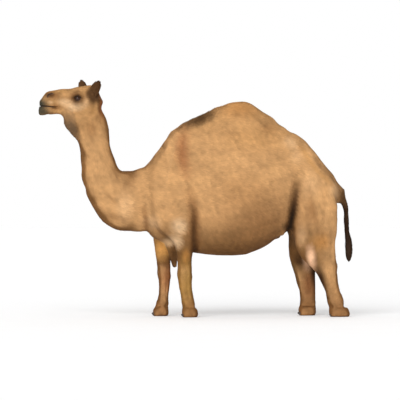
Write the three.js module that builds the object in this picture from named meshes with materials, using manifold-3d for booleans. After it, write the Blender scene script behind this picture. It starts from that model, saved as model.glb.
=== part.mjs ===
// A one-humped camel (dromedary) standing still, life size.
// Millimetres, +Z up. The animal faces -X and its left side is -Y.
// The body is a smooth field of limbs and lumps. Each named part is cut out of that field.
import * as THREE from "three";
import Module from "manifold-3d";

const wasm = await Module();
wasm.setup();

// Driving dimensions.
const HUMP_TOP = 1950; // floor to the top of the hump
const PART_GAP = 0.3; // clear space between neighbouring parts
const HEAD_YAW = THREE.MathUtils.degToRad(12); // the head turns to the animal's left
const NAPE = [-882, 0, 1903]; // the head turns about an upright line through this point
const EYE_RADIUS = 21;
const EYE = [-1079, 69, 1953];
const FOOT_TOP = 84; // height of the cut between leg and foot
const SPREAD = { fore: 147, hind: 160 }; // centre line of the body to the centre of a foot
const TOE_OFFSET = 31; // centre of a foot to the centre of each of its two toes
const NAIL = { radii: [20, 17, 15], height: 22, ahead: 0.86 }; // ahead is a share of the foot's half length
const EAR = { halfWidth: 50, wall: 13 };
const SIDES = { left: -1, right: 1 };
const UP = new THREE.Vector3(0, 0, 1);

const FINISHES = {
  coat: { color: 0xb98a5c, roughness: 0.9 },
  ear: { color: 0x5b4230, roughness: 0.9 },
  eye: { color: 0x1c0f08, roughness: 0.08 },
  nail: { color: 0x3a2f26, roughness: 0.45 },
  tuft: { color: 0x1d1815, roughness: 0.9 },
};

// ---------- fields: each shape gives a signed distance, negative inside ----------

function blendMin(a, b, reach) {
  const near = Math.max(reach - Math.abs(a - b), 0) / reach;
  return Math.min(a, b) - (near * near * reach) / 4;
}

// A limb is an oval rod through its stations [x, y, z, half width across, half depth].
// Its sections stand square to its length, or upright where the limb is a slice of the trunk.
function limb(stations, { upright = false, stepsPerSpan = 3 } = {}) {
  const smooth = (points) => new THREE.CatmullRomCurve3(points, false, "centripetal");
  const centres = smooth(stations.map(([x, y, z]) => new THREE.Vector3(x, y, z)));
  const girths = smooth(stations.map(([, , , side, deep]) => new THREE.Vector3(side, deep, 0)));
  const count = (stations.length - 1) * stepsPerSpan;
  const box = new THREE.Box3();
  const bones = [];
  for (let i = 0; i < count; i++) {
    const [a, b] = [centres.getPoint(i / count), centres.getPoint((i + 1) / count)];
    const [ga, gb] = [girths.getPoint(i / count), girths.getPoint((i + 1) / count)];
    const axis = b.clone().sub(a);
    const along = axis.clone();
    if (upright) along.z = 0;
    const length = along.length();
    along.divideScalar(length);
    const across = new THREE.Vector3(0, 1, 0).addScaledVector(along, -along.y).normalize();
    const depth = new THREE.Vector3().crossVectors(along, across);
    // Upright slices have a rounded end only at the two ends of the limb.
    const from = upright && i > 0 ? 0 : -Infinity;
    const to = upright && i < count - 1 ? length : Infinity;
    bones.push({ a, axis, along, across, depth, length, ga, gb, from, to });
    const reach = Math.max(ga.x, ga.y, gb.x, gb.y);
    box.union(new THREE.Box3(a.clone().min(b), a.clone().max(b)).expandByScalar(reach));
  }
  const distance = (x, y, z) => {
    let least = Infinity;
    for (const { a, axis, along, across, depth, length, ga, gb, from, to } of bones) {
      const [px, py, pz] = [x - a.x, y - a.y, z - a.z];
      const s = px * along.x + py * along.y + pz * along.z;
      if (s < from || s > to) continue;
      const t = Math.min(1, Math.max(0, s / length));
      const past = s - t * length;
      const [rx, ry, rz] = [px - axis.x * t, py - axis.y * t, pz - axis.z * t];
      const side = ga.x + (gb.x - ga.x) * t;
      const deep = ga.y + (gb.y - ga.y) * t;
      const u = rx * across.x + ry * across.y + rz * across.z;
      const v = rx * depth.x + ry * depth.y + rz * depth.z;
      const q = Math.hypot(u / side, v / deep, past / Math.min(side, deep));
      const d = q < 1e-6 ? -Math.min(side, deep) : Math.hypot(u, v, past) * (1 - 1 / q);
      if (d < least) least = d;
    }
    return least;
  };
  return { distance, box };
}

// A lump is an ellipsoid, tilted nose down by pitch degrees.
function lump([cx, cy, cz], [rx, ry, rz], pitch = 0) {
  const angle = THREE.MathUtils.degToRad(pitch);
  const [c, s] = [Math.cos(angle), Math.sin(angle)];
  const reach = Math.max(rx, ry, rz);
  const centre = new THREE.Vector3(cx, cy, cz);
  const box = new THREE.Box3(centre.clone(), centre.clone()).expandByScalar(reach);
  const distance = (x, y, z) => {
    const [px, py, pz] = [x - cx, y - cy, z - cz];
    const [u, v, w] = [px * c + pz * s, py, pz * c - px * s];
    const q = Math.hypot(u / rx, v / ry, w / rz);
    return q < 1e-6 ? -Math.min(rx, ry, rz) : Math.hypot(u, v, w) * (1 - 1 / q);
  };
  return { distance, box };
}

// The same shape on both sides of the body's middle plane.
function paired({ distance, box }) {
  const mirrored = new THREE.Box3(
    new THREE.Vector3(box.min.x, -box.max.y, box.min.z),
    new THREE.Vector3(box.max.x, -box.min.y, box.max.z),
  );
  return { distance: (x, y, z) => distance(x, Math.abs(y), z), box: mirrored.union(box) };
}

// Shapes melted together: each entry is [shape, reach of the blend].
function joined(entries) {
  const box = new THREE.Box3();
  for (const [shape] of entries) box.union(shape.box);
  const distance = (x, y, z) => {
    let d = Infinity;
    for (const [shape, reach] of entries) {
      const { min, max } = shape.box;
      const outside = Math.hypot(
        Math.max(min.x - x, 0, x - max.x),
        Math.max(min.y - y, 0, y - max.y),
        Math.max(min.z - z, 0, z - max.z),
      );
      if (outside > d + reach) continue;
      const one = shape.distance(x, y, z);
      d = d === Infinity ? one : blendMin(d, one, reach);
    }
    return d;
  };
  return { distance, box };
}

// A shape turned about an upright line through the given point.
function turned(shape, [cx, cy], angle) {
  const [c, s] = [Math.cos(angle), Math.sin(angle)];
  const distance = (x, y, z) => {
    const [px, py] = [x - cx, y - cy];
    return shape.distance(cx + px * c + py * s, cy - px * s + py * c, z);
  };
  return { distance, box: shape.box.clone().expandByScalar(shape.box.max.y) };
}

// ---------- the animal ----------

const BARREL = limb(
  [
    [-300, 0, 1050, 185, 345],
    [-135, 0, 1040, 250, 418],
    [27, 0, 1040, 312, 480],
    [243, 0, 1040, 362, 500],
    [459, 0, 1050, 372, 502],
    [621, 0, 1090, 350, 472],
    [783, 0, 1120, 308, 394],
    [945, 0, 1120, 240, 276],
    [1107, 0, 1110, 178, 160],
    [1220, 0, 1100, 110, 90],
  ],
  { upright: true },
);

const TOPLINE = limb(
  [
    [60, 0, 1500, 150, 200],
    [300, 0, 1440, 200, 215],
    [650, 0, 1440, 200, 205],
    [800, 0, 1466, 166, 186],
    [890, 0, 1462, 154, 186],
    [950, 0, 1450, 148, 202],
    [1004, 0, 1410, 142, 188],
    [1058, 0, 1354, 134, 174],
    [1166, 0, 1246, 116, 142],
    [1262, 0, 1176, 88, 122],
    [1292, 0, 1150, 50, 86],
  ],
  { upright: true },
);

const CHEST = limb(
  [
    [-454, 0, 1050, 158, 300],
    [-346, 0, 1092, 172, 404],
    [-238, 0, 1148, 178, 506],
    [-130, 0, 1165, 176, 578],
    [-20, 0, 1180, 170, 585],
  ],
  { upright: true },
);

const HUMP_BASE = limb(
  [
    [60, 0, 1580, 140, 150],
    [240, 0, 1640, 208, 190],
    [405, 0, 1680, 236, 196],
    [560, 0, 1640, 220, 188],
    [720, 0, 1550, 174, 150],
  ],
  { upright: true },
);

const HUMP_RIDGE = limb(
  [
    [-60, 0, 1672, 64, 84],
    [86, 0, 1742, 78, 98],
    [248, 0, 1806, 94, 104],
    [383, 0, HUMP_TOP - 116, 106, 114],
    [491, 0, 1816, 104, 114],
    [626, 0, 1744, 92, 104],
    [734, 0, 1684, 78, 96],
    [772, 0, 1646, 54, 72],
  ],
  { upright: true },
);

const NECK = limb([
  [-958, 0, 1884, 76, 142],
  [-956, 0, 1722, 86, 178],
  [-911, 0, 1602, 84, 160],
  [-890, 0, 1494, 84, 157],
  [-874, 0, 1395, 86, 158],
  [-838, 0, 1240, 94, 192],
  [-762, 0, 1130, 106, 224],
  [-690, 0, 1062, 120, 258],
  [-611, 0, 1030, 134, 274],
  [-535, 0, 1036, 148, 276],
  [-454, 0, 1050, 156, 294],
]);

const SHOULDER_BLADE = limb([
  [-140, 62, 1640, 44, 78],
  [-205, 130, 1390, 62, 140],
  [-300, 172, 1130, 74, 120],
]);

const UPPER_ARM = limb([
  [-322, 172, 1060, 78, 112],
  [-230, 190, 900, 82, 170],
  [-130, 182, 770, 74, 130],
]);

const HAUNCH = limb([
  [968, 118, 1340, 84, 132],
  [1040, 156, 1140, 108, 226],
  [1056, 178, 920, 110, 226],
  [1056, 182, 810, 98, 208],
]);

const CHEST_PAD = lump([-205, 0, 600], [76, 58, 185]);

// Each leg runs from the elbow or stifle down to the foot.
const FORELEG_STATIONS = {
  left: [
    [-118, 172, 760, 72, 120],
    [-108, 163, 640, 62, 88],
    [-106, 154, 500, 56, 72],
    [-104, 149, 380, 57, 70],
    [-100, 147, 285, 48, 66],
    [-86, 147, 200, 46, 61],
    [-74, 147, 130, 52, 61],
    [-62, 147, 60, 60, 70],
  ],
  right: [
    [-250, 175, 760, 74, 146],
    [-270, 163, 630, 62, 94],
    [-272, 154, 500, 54, 68],
    [-266, 149, 372, 56, 62],
    [-265, 147, 285, 46, 56],
    [-272, 147, 200, 43, 50],
    [-282, 147, 125, 50, 57],
    [-296, 147, 60, 59, 68],
  ],
};

const HINDLEG_STATIONS = {
  left: [
    [1060, 182, 800, 94, 206],
    [1078, 178, 640, 74, 190],
    [1128, 172, 530, 62, 142],
    [1168, 167, 430, 56, 104],
    [1196, 163, 330, 50, 86],
    [1226, 160, 225, 46, 74],
    [1254, 160, 140, 52, 79],
    [1278, 160, 62, 62, 90],
  ],
  right: [
    [1026, 182, 800, 94, 172],
    [990, 178, 640, 74, 134],
    [992, 172, 530, 64, 122],
    [1014, 167, 420, 58, 106],
    [1024, 163, 320, 50, 96],
    [1040, 160, 220, 46, 78],
    [1044, 160, 130, 52, 76],
    [1036, 160, 62, 62, 80],
  ],
};

// Centre of each foot along the body, and half its length.
const FEET = {
  fore: { left: [-58, 79], right: [-303, 77] },
  hind: { left: [1292, 98], right: [1034, 84] },
};

const TAIL = limb([
  [1255, 0, 1192, 34, 36],
  [1296, 0, 1166, 33, 35],
  [1325, 0, 1106, 30, 32],
  [1358, 0, 1010, 26, 27],
  [1372, 0, 930, 23, 24],
  [1375, 0, 820, 21, 22],
  [1379, 0, 756, 23, 25],
  [1393, 0, 700, 35, 42],
  [1397, 0, 640, 37, 44],
  [1395, 0, 560, 30, 35],
  [1397, 0, 480, 13, 15],
]);
const TUFT_TOP = 722;

const HEAD = joined([
  [lump([-1002, 0, 1944], [120, 80, 124]), 1],
  [lump([-904, 0, 1912], [88, 70, 94]), 60],
  [lump([-944, 0, 2020], [84, 46, 40], 4), 40],
  [
    limb([
      [-1035, 0, 1956, 76, 98],
      [-1130, 0, 1962, 66, 88],
      [-1225, 0, 1960, 55, 80],
      [-1318, 0, 1950, 48, 68],
      [-1352, 0, 1938, 42, 54],
    ]),
    40,
  ],
  [
    limb([
      [-975, 0, 1830, 66, 90],
      [-1080, 0, 1840, 58, 72],
      [-1210, 0, 1858, 45, 52],
      [-1320, 0, 1851, 40, 42],
    ]),
    36,
  ],
  [paired(lump([-1071, 66, 1984], [60, 30, 34], -8)), 26],
  [paired(lump([-1045, 62, 1900], [100, 32, 44], 8)), 30],
  [paired(lump([-1003, 54, 1850], [80, 30, 72])), 30],
  [lump([-1384, 0, 1845], [46, 38, 53]), 18],
  [paired(lump([-1366, 18, 1918], [46, 28, 40])), 20],
  [paired(lump([-1318, 32, 1968], [48, 20, 27], -10)), 22],
  [lump([-1098, 0, 1742], [94, 60, 86]), 60],
]);

// A two-toed pad: a round heel and two toes side by side.
function foot(x, y, halfLength) {
  const heel = lump([x + halfLength * 0.32, y, 26], [halfLength * 0.66, 60, 44]);
  const toe = (offset) => lump([x - halfLength * 0.34, y + offset, 24], [halfLength * 0.64, 33, 42]);
  return joined([
    [heel, 1],
    [toe(-TOE_OFFSET), 16],
    [toe(TOE_OFFSET), 10],
  ]);
}

function leg(stations, side, [footX, halfLength], spread) {
  const y = SIDES[side] * spread;
  const sided = stations.map(([x, across, z, w, d]) => [x, SIDES[side] * across, z, w, d]);
  return joined([
    [limb(sided), 1],
    [foot(footX, y, halfLength), 34],
  ]);
}

const FLESH = joined([
  [BARREL, 1],
  [TOPLINE, 110],
  [CHEST, 80],
  [HUMP_BASE, 100],
  [HUMP_RIDGE, 60],
  [NECK, 40],
  [paired(SHOULDER_BLADE), 50],
  [paired(UPPER_ARM), 55],
  [paired(HAUNCH), 60],
  [CHEST_PAD, 50],
  [leg(FORELEG_STATIONS.left, "left", FEET.fore.left, SPREAD.fore), 40],
  [leg(FORELEG_STATIONS.right, "right", FEET.fore.right, SPREAD.fore), 40],
  [leg(HINDLEG_STATIONS.left, "left", FEET.hind.left, SPREAD.hind), 50],
  [leg(HINDLEG_STATIONS.right, "right", FEET.hind.right, SPREAD.hind), 50],
  [TAIL, 26],
  [turned(HEAD, NAPE, HEAD_YAW), 60],
]);

// ---------- surfaces ----------

// The field's surface inside a box, as one closed mesh of about the given cell size.
function surface(shape, [low, high], cell) {
  const counts = low.map((v, k) => Math.ceil((high[k] - v) / cell[k]) + 1);
  const step = low.map((v, k) => (high[k] - v) / (counts[k] - 1));
  const [nx, ny, nz] = counts;
  const inner = low.map((v, k) => [v + step[k] * 0.75, high[k] - step[k] * 0.75]);
  const distance = (x, y, z) => {
    const wall = [x, y, z].map((v, k) => Math.max(inner[k][0] - v, v - inner[k][1]));
    return Math.max(shape.distance(x, y, z), ...wall);
  };
  const at = (i, j, k) => (i * ny + j) * nz + k;
  const values = new Float64Array(nx * ny * nz);
  for (let i = 0; i < nx; i++)
    for (let j = 0; j < ny; j++)
      for (let k = 0; k < nz; k++)
        values[at(i, j, k)] = distance(low[0] + i * step[0], low[1] + j * step[1], low[2] + k * step[2]);

  fillPinches(values, counts);

  const cellVertex = new Map();
  const positions = [];
  const corners = [0, 1, 2, 3, 4, 5, 6, 7].map((c) => [c & 1, (c >> 1) & 1, c >> 2]);
  const edges = [];
  for (let c = 0; c < 8; c++)
    for (let axis = 0; axis < 3; axis++) if (!(c & (1 << axis))) edges.push([c, c | (1 << axis)]);
  const vertexOf = (i, j, k) => {
    const key = at(i, j, k);
    if (cellVertex.has(key)) return cellVertex.get(key);
    const sum = new THREE.Vector3();
    let crossings = 0;
    for (const [c0, c1] of edges) {
      const [p, q] = [corners[c0], corners[c1]];
      const d0 = values[at(i + p[0], j + p[1], k + p[2])];
      const d1 = values[at(i + q[0], j + q[1], k + q[2])];
      if (d0 < 0 === d1 < 0) continue;
      const t = d0 / (d0 - d1);
      sum.x += p[0] + (q[0] - p[0]) * t;
      sum.y += p[1] + (q[1] - p[1]) * t;
      sum.z += p[2] + (q[2] - p[2]) * t;
      crossings++;
    }
    sum.divideScalar(crossings);
    const point = new THREE.Vector3(
      low[0] + (i + sum.x) * step[0],
      low[1] + (j + sum.y) * step[1],
      low[2] + (k + sum.z) * step[2],
    );
    settle(point, distance, Math.min(...step) / 2);
    cellVertex.set(key, positions.length / 3);
    positions.push(point.x, point.y, point.z);
    return cellVertex.get(key);
  };

  const triangles = [];
  // The four cells round a grid edge along each axis, in turning order about that axis.
  const cellsRound = [
    [[0, -1, -1], [0, 0, -1], [0, 0, 0], [0, -1, 0]],
    [[-1, 0, -1], [-1, 0, 0], [0, 0, 0], [0, 0, -1]],
    [[-1, -1, 0], [0, -1, 0], [0, 0, 0], [-1, 0, 0]],
  ];
  for (let i = 0; i < nx - 1; i++)
    for (let j = 0; j < ny - 1; j++)
      for (let k = 0; k < nz - 1; k++) {
        const here = values[at(i, j, k)] < 0;
        const ends = [at(i + 1, j, k), at(i, j + 1, k), at(i, j, k + 1)];
        for (const [axis, end] of ends.entries()) {
          if (here === values[end] < 0) continue;
          if ([i, j, k].some((v, other) => other !== axis && v === 0)) continue;
          const [a, b, c, d] = cellsRound[axis].map(([di, dj, dk]) => vertexOf(i + di, j + dj, k + dk));
          triangles.push(...(here ? [a, b, c, a, c, d] : [a, d, c, a, c, b]));
        }
      }
  return manifoldOf(positions, triangles);
}

function manifoldOf(vertices, triangles) {
  const vertProperties = new Float32Array(vertices);
  const triVerts = new Uint32Array(triangles);
  return new wasm.Manifold(new wasm.Mesh({ numProp: 3, vertProperties, triVerts }));
}

// Where the surface would touch itself inside one cell, that cell is made solid.
function fillPinches(values, [nx, ny, nz]) {
  const solid = -1e-3;
  const neighbours = [0, 1, 2, 3, 4, 5, 6, 7].map((c) => [c ^ 1, c ^ 2, c ^ 4]);
  const spotOf = (i, j, k, c) => ((i + (c & 1)) * ny + j + ((c >> 1) & 1)) * nz + k + (c >> 2);
  const connected = (inside, wanted) => {
    const members = neighbours.map((_, c) => c).filter((c) => inside[c] === wanted);
    if (members.length < 2) return true;
    const found = new Set([members[0]]);
    for (const c of found) for (const n of neighbours[c]) if (inside[n] === wanted) found.add(n);
    return found.size === members.length;
  };
  for (let changed = true; changed; ) {
    changed = false;
    for (let i = 0; i < nx - 1; i++)
      for (let j = 0; j < ny - 1; j++)
        for (let k = 0; k < nz - 1; k++) {
          const spots = neighbours.map((_, c) => spotOf(i, j, k, c));
          const inside = spots.map((spot) => values[spot] < 0);
          if (connected(inside, true) && connected(inside, false)) continue;
          const open = spots.filter((spot) => values[spot] >= 0);
          values[open.reduce((a, b) => (values[a] < values[b] ? a : b))] = solid;
          changed = true;
        }
  }
}

// Moves a point onto the surface, by no more than the given limit.
function settle(point, distance, limit) {
  const h = 2;
  const start = point.clone();
  for (let pass = 0; pass < 3; pass++) {
    const { x, y, z } = point;
    const slope = new THREE.Vector3(
      distance(x + h, y, z) - distance(x - h, y, z),
      distance(x, y + h, z) - distance(x, y - h, z),
      distance(x, y, z + h) - distance(x, y, z - h),
    ).divideScalar(2 * h);
    const size = slope.lengthSq();
    if (size < 0.05) return;
    point.addScaledVector(slope, -distance(x, y, z) / size);
    const move = point.clone().sub(start);
    if (move.length() > limit) point.copy(start).addScaledVector(move.normalize(), limit);
  }
}

// A closed three.js geometry as a solid.
function solidOf(geometry) {
  const flat = geometry.index ? geometry.toNonIndexed() : geometry;
  const { array } = flat.getAttribute("position");
  const seen = new Map();
  const vertices = [];
  const triVerts = [];
  for (let i = 0; i < array.length; i += 3) {
    const point = [array[i], array[i + 1], array[i + 2]];
    const key = point.map((v) => Math.round(v * 1000)).join();
    if (!seen.has(key)) {
      seen.set(key, vertices.length / 3);
      vertices.push(...point);
    }
    triVerts.push(seen.get(key));
  }
  const kept = [];
  for (let i = 0; i < triVerts.length; i += 3) {
    const [a, b, c] = triVerts.slice(i, i + 3);
    if (a !== b && b !== c && c !== a) kept.push(a, b, c);
  }
  return manifoldOf(vertices, kept);
}

// The half of space behind a plane [point, outward direction], as a very large box.
function behind([point, out], shift) {
  const size = 8000;
  const direction = new THREE.Vector3(...out).normalize();
  const box = new THREE.BoxGeometry(size, size, size);
  box.translate(0, 0, shift - size / 2);
  box.applyQuaternion(new THREE.Quaternion().setFromUnitVectors(UP, direction));
  return solidOf(box.translate(...point));
}

// A region is the space behind all its planes.
function region(planes, shift) {
  return planes.map((plane) => behind(plane, shift)).reduce((a, b) => a.intersect(b));
}

function largest(solid) {
  return solid.decompose().reduce((a, b) => (a.volume() > b.volume() ? a : b));
}

// ---------- where the body is parted ----------

const HEAD_SIDE = [[-983, 0, 1813], [0.507, 0, -0.862]];
const NECK_MIDDLE = [[-819, 0, 1221], [0.491, 0, -0.871]];
const NECK_BASE = [[-438, 0, 1080], [0.998, 0, 0.06]];
const HUMP_SEAT = [[400, 0, 1700], [-0.0988, 0, -0.995]];
const BEHIND_NECK = [[-300, 0, 0], [-1, 0, 0]];
const TAIL_ROOT = [[1332, 0, 1132], [-0.63, 0, 0.77]];
const TUFT_EDGE = [[0, 0, TUFT_TOP], [0, 0, 1]];
const FLANK = [[800, 0, 735], [-0.994, 0, 0.11]];
const ABOVE_FOOT = [[0, 0, FOOT_TOP], [0, 0, -1]];
const FLOOR = [[0, 0, 0], [0, 0, -1]];

const flip = ([point, out]) => [point, out.map((v) => -v)];
const ahead = (x) => [[x, 0, 0], [1, 0, 0]];
const past = (x) => [[x, 0, 0], [-1, 0, 0]];
const beside = (sign, y) => [[0, sign * y, 0], [0, sign, 0]];
const armpit = (sign) => [[0, sign * 50, 560], [0, -sign * 0.8, 0.6]];
const besidePad = (sign) => [[0, sign * 62, 0], [0, -sign, 0]];
const groin = (sign) => [[0, sign * 40, 760], [0, -sign * 0.842, 0.54]];

const REGIONS = {
  head: [HEAD_SIDE],
  neck_upper: [NECK_MIDDLE, flip(HEAD_SIDE), ahead(-500)],
  neck_lower: [NECK_BASE, flip(NECK_MIDDLE)],
  hump: [HUMP_SEAT, BEHIND_NECK],
  foreleg_left: [armpit(-1), besidePad(-1), ahead(20), ABOVE_FOOT],
  foreleg_right: [armpit(1), besidePad(1), ahead(-100), ABOVE_FOOT],
  hindleg_left: [groin(-1), FLANK, ABOVE_FOOT],
  hindleg_right: [groin(1), FLANK, ABOVE_FOOT],
  tail: [TAIL_ROOT, past(1314), beside(-1, 64), beside(1, 64)],
};

// The box that each part's surface is made in, and its cell size.
const PATCHES = {
  head: [[[-1480, -230, 1600], [-740, 150, 2160]], [28, 27, 27]],
  neck_upper: [[[-1240, -260, 1040], [-500, 260, 1960]], [78, 68, 92]],
  neck_lower: [[[-1120, -340, 620], [-360, 340, 1460]], [86, 80, 86]],
  trunk: [[[-560, -500, 330], [1460, 500, 1960]], [120, 104, 107]],
  hump: [[[-300, -420, 1480], [1100, 420, 2060]], [100, 78, 74]],
  foreleg_left: [[[-330, -330, 20], [120, -20, 960]], [50, 42, 74]],
  foreleg_right: [[[-480, 20, 20], [60, 330, 960]], [50, 42, 74]],
  hindleg_left: [[[720, -380, 20], [1420, -10, 1320]], [62, 52, 82]],
  hindleg_right: [[[680, 10, 20], [1400, 380, 1320]], [62, 52, 82]],
  tail: [[[1230, -90, 440], [1460, 90, 1260]], [26, 26, 52]],
};

function cut(name) {
  const block = surface(FLESH, ...PATCHES[name]);
  return largest(block.intersect(region(REGIONS[name], -PART_GAP / 2)));
}

function footPart(end, side) {
  const [x, half] = FEET[end][side];
  const y = SIDES[side] * SPREAD[end];
  const box = [[x - half - 50, y - 110, -60], [x + half + 50, y + 110, 140]];
  const block = surface(FLESH, box, [38, 34, 34]).intersect(behind(FLOOR, 0));
  return largest(block.intersect(behind(flip(ABOVE_FOOT), -PART_GAP / 2)));
}

function nail(centre, grow) {
  const ball = new THREE.SphereGeometry(1, 8, 4);
  ball.rotateX(Math.PI / 2);
  ball.scale(...NAIL.radii.map((r) => r + grow));
  return solidOf(ball.translate(...centre));
}

// A cupped leaf of flesh. It stands along +Z, opens towards -Y and is widest low down.
function earGeometry(length, grow) {
  const { halfWidth, wall } = EAR;
  const rings = 7;
  const half = 4; // points from one rim to the middle of the back
  const outline = (t) => halfWidth * (0.62 + 0.75 * t) * Math.sqrt(Math.max(0, 1 - t ** 2.4));
  const points = [];
  const around = 4 * half - 4;
  for (let r = 0; r <= rings; r++) {
    const t = Math.min(r / rings, 0.985);
    const w = outline(t);
    const thick = wall * (1 - 0.5 * t) * Math.min(1, (w / halfWidth) * 1.6) + 2 * grow;
    const z = t * (length + 2 * grow) - grow;
    for (let i = 0; i < around; i++) {
      const back = i <= around / 2;
      const s = back ? (4 * i) / around - 1 : 3 - (4 * i) / around;
      const x = (w + grow) * s;
      const bow = 0.55 * (w - (x * x) / w);
      const skin = ((back ? 1 : -1) * thick * (1 - s ** 4)) / 2;
      points.push(new THREE.Vector3(x, bow + skin, z));
    }
  }
  const positions = [];
  const face = (...corners) => corners.forEach((p) => positions.push(p.x, p.y, p.z));
  const ring = (r, i) => points[r * around + ((i + around) % around)];
  for (let r = 0; r < rings; r++)
    for (let i = 0; i < around; i++) {
      face(ring(r, i), ring(r + 1, i + 1), ring(r, i + 1));
      face(ring(r, i), ring(r + 1, i), ring(r + 1, i + 1));
    }
  for (const [r, turn] of [[0, 1], [rings, -1]])
    for (let i = 0; i < around / 2; i++) {
      const [a, b] = [ring(r, i), ring(r, i + 1)];
      const [c, d] = [ring(r, -i - 1), ring(r, -i)];
      const quad = turn > 0 ? [a, b, c, d] : [d, c, b, a];
      if (i > 0) face(quad[0], quad[1], quad[3]);
      if (i < around / 2 - 1) face(quad[1], quad[2], quad[3]);
    }
  const position = new THREE.Float32BufferAttribute(positions, 3);
  return new THREE.BufferGeometry().setAttribute("position", position);
}

// Ears stand between their root and tip, with the opening turned by spin about their own length.
const EARS = {
  left: { root: [-966, -52, 1950], tip: [-893, -116, 2106], spin: 60 },
  right: { root: [-980, 56, 1966], tip: [-998, 108, 2122], spin: -78 },
};

function ear(side, grow) {
  const { root, tip, spin } = EARS[side];
  const axis = new THREE.Vector3(...tip).sub(new THREE.Vector3(...root));
  const shape = earGeometry(axis.length(), grow);
  shape.rotateZ(THREE.MathUtils.degToRad(spin) - Math.PI / 2);
  shape.applyQuaternion(new THREE.Quaternion().setFromUnitVectors(UP, axis.normalize()));
  shape.translate(...root);
  return solidOf(turnHead(shape));
}

// Turns a geometry with the head.
function turnHead(geometry) {
  return geometry
    .translate(-NAPE[0], -NAPE[1], 0)
    .rotateZ(HEAD_YAW)
    .translate(NAPE[0], NAPE[1], 0);
}

function eye(side, grow) {
  const ball = new THREE.SphereGeometry(EYE_RADIUS + grow, 12, 8);
  return solidOf(turnHead(ball.translate(EYE[0], SIDES[side] * EYE[1], EYE[2])));
}

// ---------- the parts ----------

const camel = new THREE.Group();

function add(name, solid, finish) {
  const { numProp, vertProperties, triVerts } = solid.getMesh();
  const position = new THREE.BufferAttribute(new Float32Array(vertProperties), numProp);
  const geometry = new THREE.BufferGeometry().setAttribute("position", position).setIndex([...triVerts]);
  const material = new THREE.MeshStandardMaterial({ ...FINISHES[finish], metalness: 0 });
  const mesh = new THREE.Mesh(geometry, material);
  mesh.name = name;
  camel.add(mesh);
}

let head = cut("head");
for (const side of Object.keys(SIDES)) {
  head = head.subtract(eye(side, PART_GAP)).subtract(ear(side, PART_GAP));
  add(`eye_${side}`, eye(side, 0), "eye");
  add(`ear_${side}`, ear(side, 0), "ear");
}
add("head", largest(head), "coat");
for (const name of ["neck_upper", "neck_lower", "hump"]) add(name, cut(name), "coat");

let trunk = surface(FLESH, ...PATCHES.trunk);
for (const [name, planes] of Object.entries(REGIONS)) {
  const cutter = name.includes("leg") ? planes.filter((plane) => plane !== ABOVE_FOOT) : planes;
  trunk = trunk.subtract(region(cutter, PART_GAP / 2));
}
add("trunk", largest(trunk), "coat");

for (const end of ["fore", "hind"])
  for (const side of Object.keys(SIDES)) {
    add(`${end}leg_${side}`, cut(`${end}leg_${side}`), "coat");
    const [x, half] = FEET[end][side];
    let pad = footPart(end, side);
    for (const [toe, offset] of [["a", -TOE_OFFSET], ["b", TOE_OFFSET]]) {
      const spot = [x - half * NAIL.ahead, SIDES[side] * SPREAD[end] + offset, NAIL.height];
      pad = pad.subtract(nail(spot, PART_GAP));
      add(`nail_${end}_${side}_${toe}`, nail(spot, 0), "nail");
    }
    add(`${end}foot_${side}`, largest(pad), "coat");
  }

const tail = cut("tail");
add("tail_dock", largest(tail.intersect(behind(flip(TUFT_EDGE), -PART_GAP / 2))), "coat");
add("tail_tuft", largest(tail.intersect(behind(TUFT_EDGE, -PART_GAP / 2))), "tuft");

// The origin is on the floor under the middle of the whole animal.
const bounds = new THREE.Box3().setFromObject(camel);
const middle = bounds.getCenter(new THREE.Vector3());
camel.position.set(-middle.x, -middle.y, -bounds.min.z);

export default camel;
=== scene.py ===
"""A one-humped camel (dromedary) standing still, life size, as a museum model.

The smooth skin, the eyes, the toenails and the coat are made around the solid parts of the frame.
Metres, +Z up. The animal faces -X and its left side is -Y.
"""

import functools
import math
from collections import namedtuple

import bpy
import numpy as np
from bpy.props import FloatProperty, FloatVectorProperty, IntProperty, PointerProperty
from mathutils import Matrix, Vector
from mathutils.bvhtree import BVHTree


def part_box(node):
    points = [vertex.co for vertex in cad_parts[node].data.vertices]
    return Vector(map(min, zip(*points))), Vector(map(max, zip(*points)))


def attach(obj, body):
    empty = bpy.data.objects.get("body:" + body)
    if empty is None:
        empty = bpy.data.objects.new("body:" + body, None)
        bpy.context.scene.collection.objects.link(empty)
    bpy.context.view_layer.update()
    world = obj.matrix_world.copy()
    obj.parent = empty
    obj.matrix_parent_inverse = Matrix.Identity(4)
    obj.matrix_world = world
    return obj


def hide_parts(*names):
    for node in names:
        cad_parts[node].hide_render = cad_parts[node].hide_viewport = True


bl_info = {
    "name": "Dromedary Camel",
    "version": (1, 0, 0),
    "blender": (4, 5, 0),
    "location": "View3D > Sidebar > Camel",
    "description": "Skin, eyes, toenails and coat of a standing dromedary",
    "category": "Object",
}

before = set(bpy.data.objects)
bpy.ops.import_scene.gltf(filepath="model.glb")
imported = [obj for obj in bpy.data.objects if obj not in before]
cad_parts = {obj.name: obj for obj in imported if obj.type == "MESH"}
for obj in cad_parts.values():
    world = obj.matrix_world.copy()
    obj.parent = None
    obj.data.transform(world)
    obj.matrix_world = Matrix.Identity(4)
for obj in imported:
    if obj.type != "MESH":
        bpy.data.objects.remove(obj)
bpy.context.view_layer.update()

SIDES = {"left": -1, "right": 1}
LEGS = [f"{end}leg_{side}" for end in ("fore", "hind") for side in SIDES]
FEET = [f"{end}foot_{side}" for end in ("fore", "hind") for side in SIDES]
BODY_PARTS = ["head", "neck_upper", "neck_lower", "trunk", "hump", *LEGS, *FEET, "tail_dock", "tail_tuft"]
EARS = [f"ear_{side}" for side in SIDES]
EYES = [f"eye_{side}" for side in SIDES]


def middle_of(node):
    low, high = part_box(node)
    return np.array((low + high) / 2)


# ---------- landmarks, taken from the frame ----------

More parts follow.
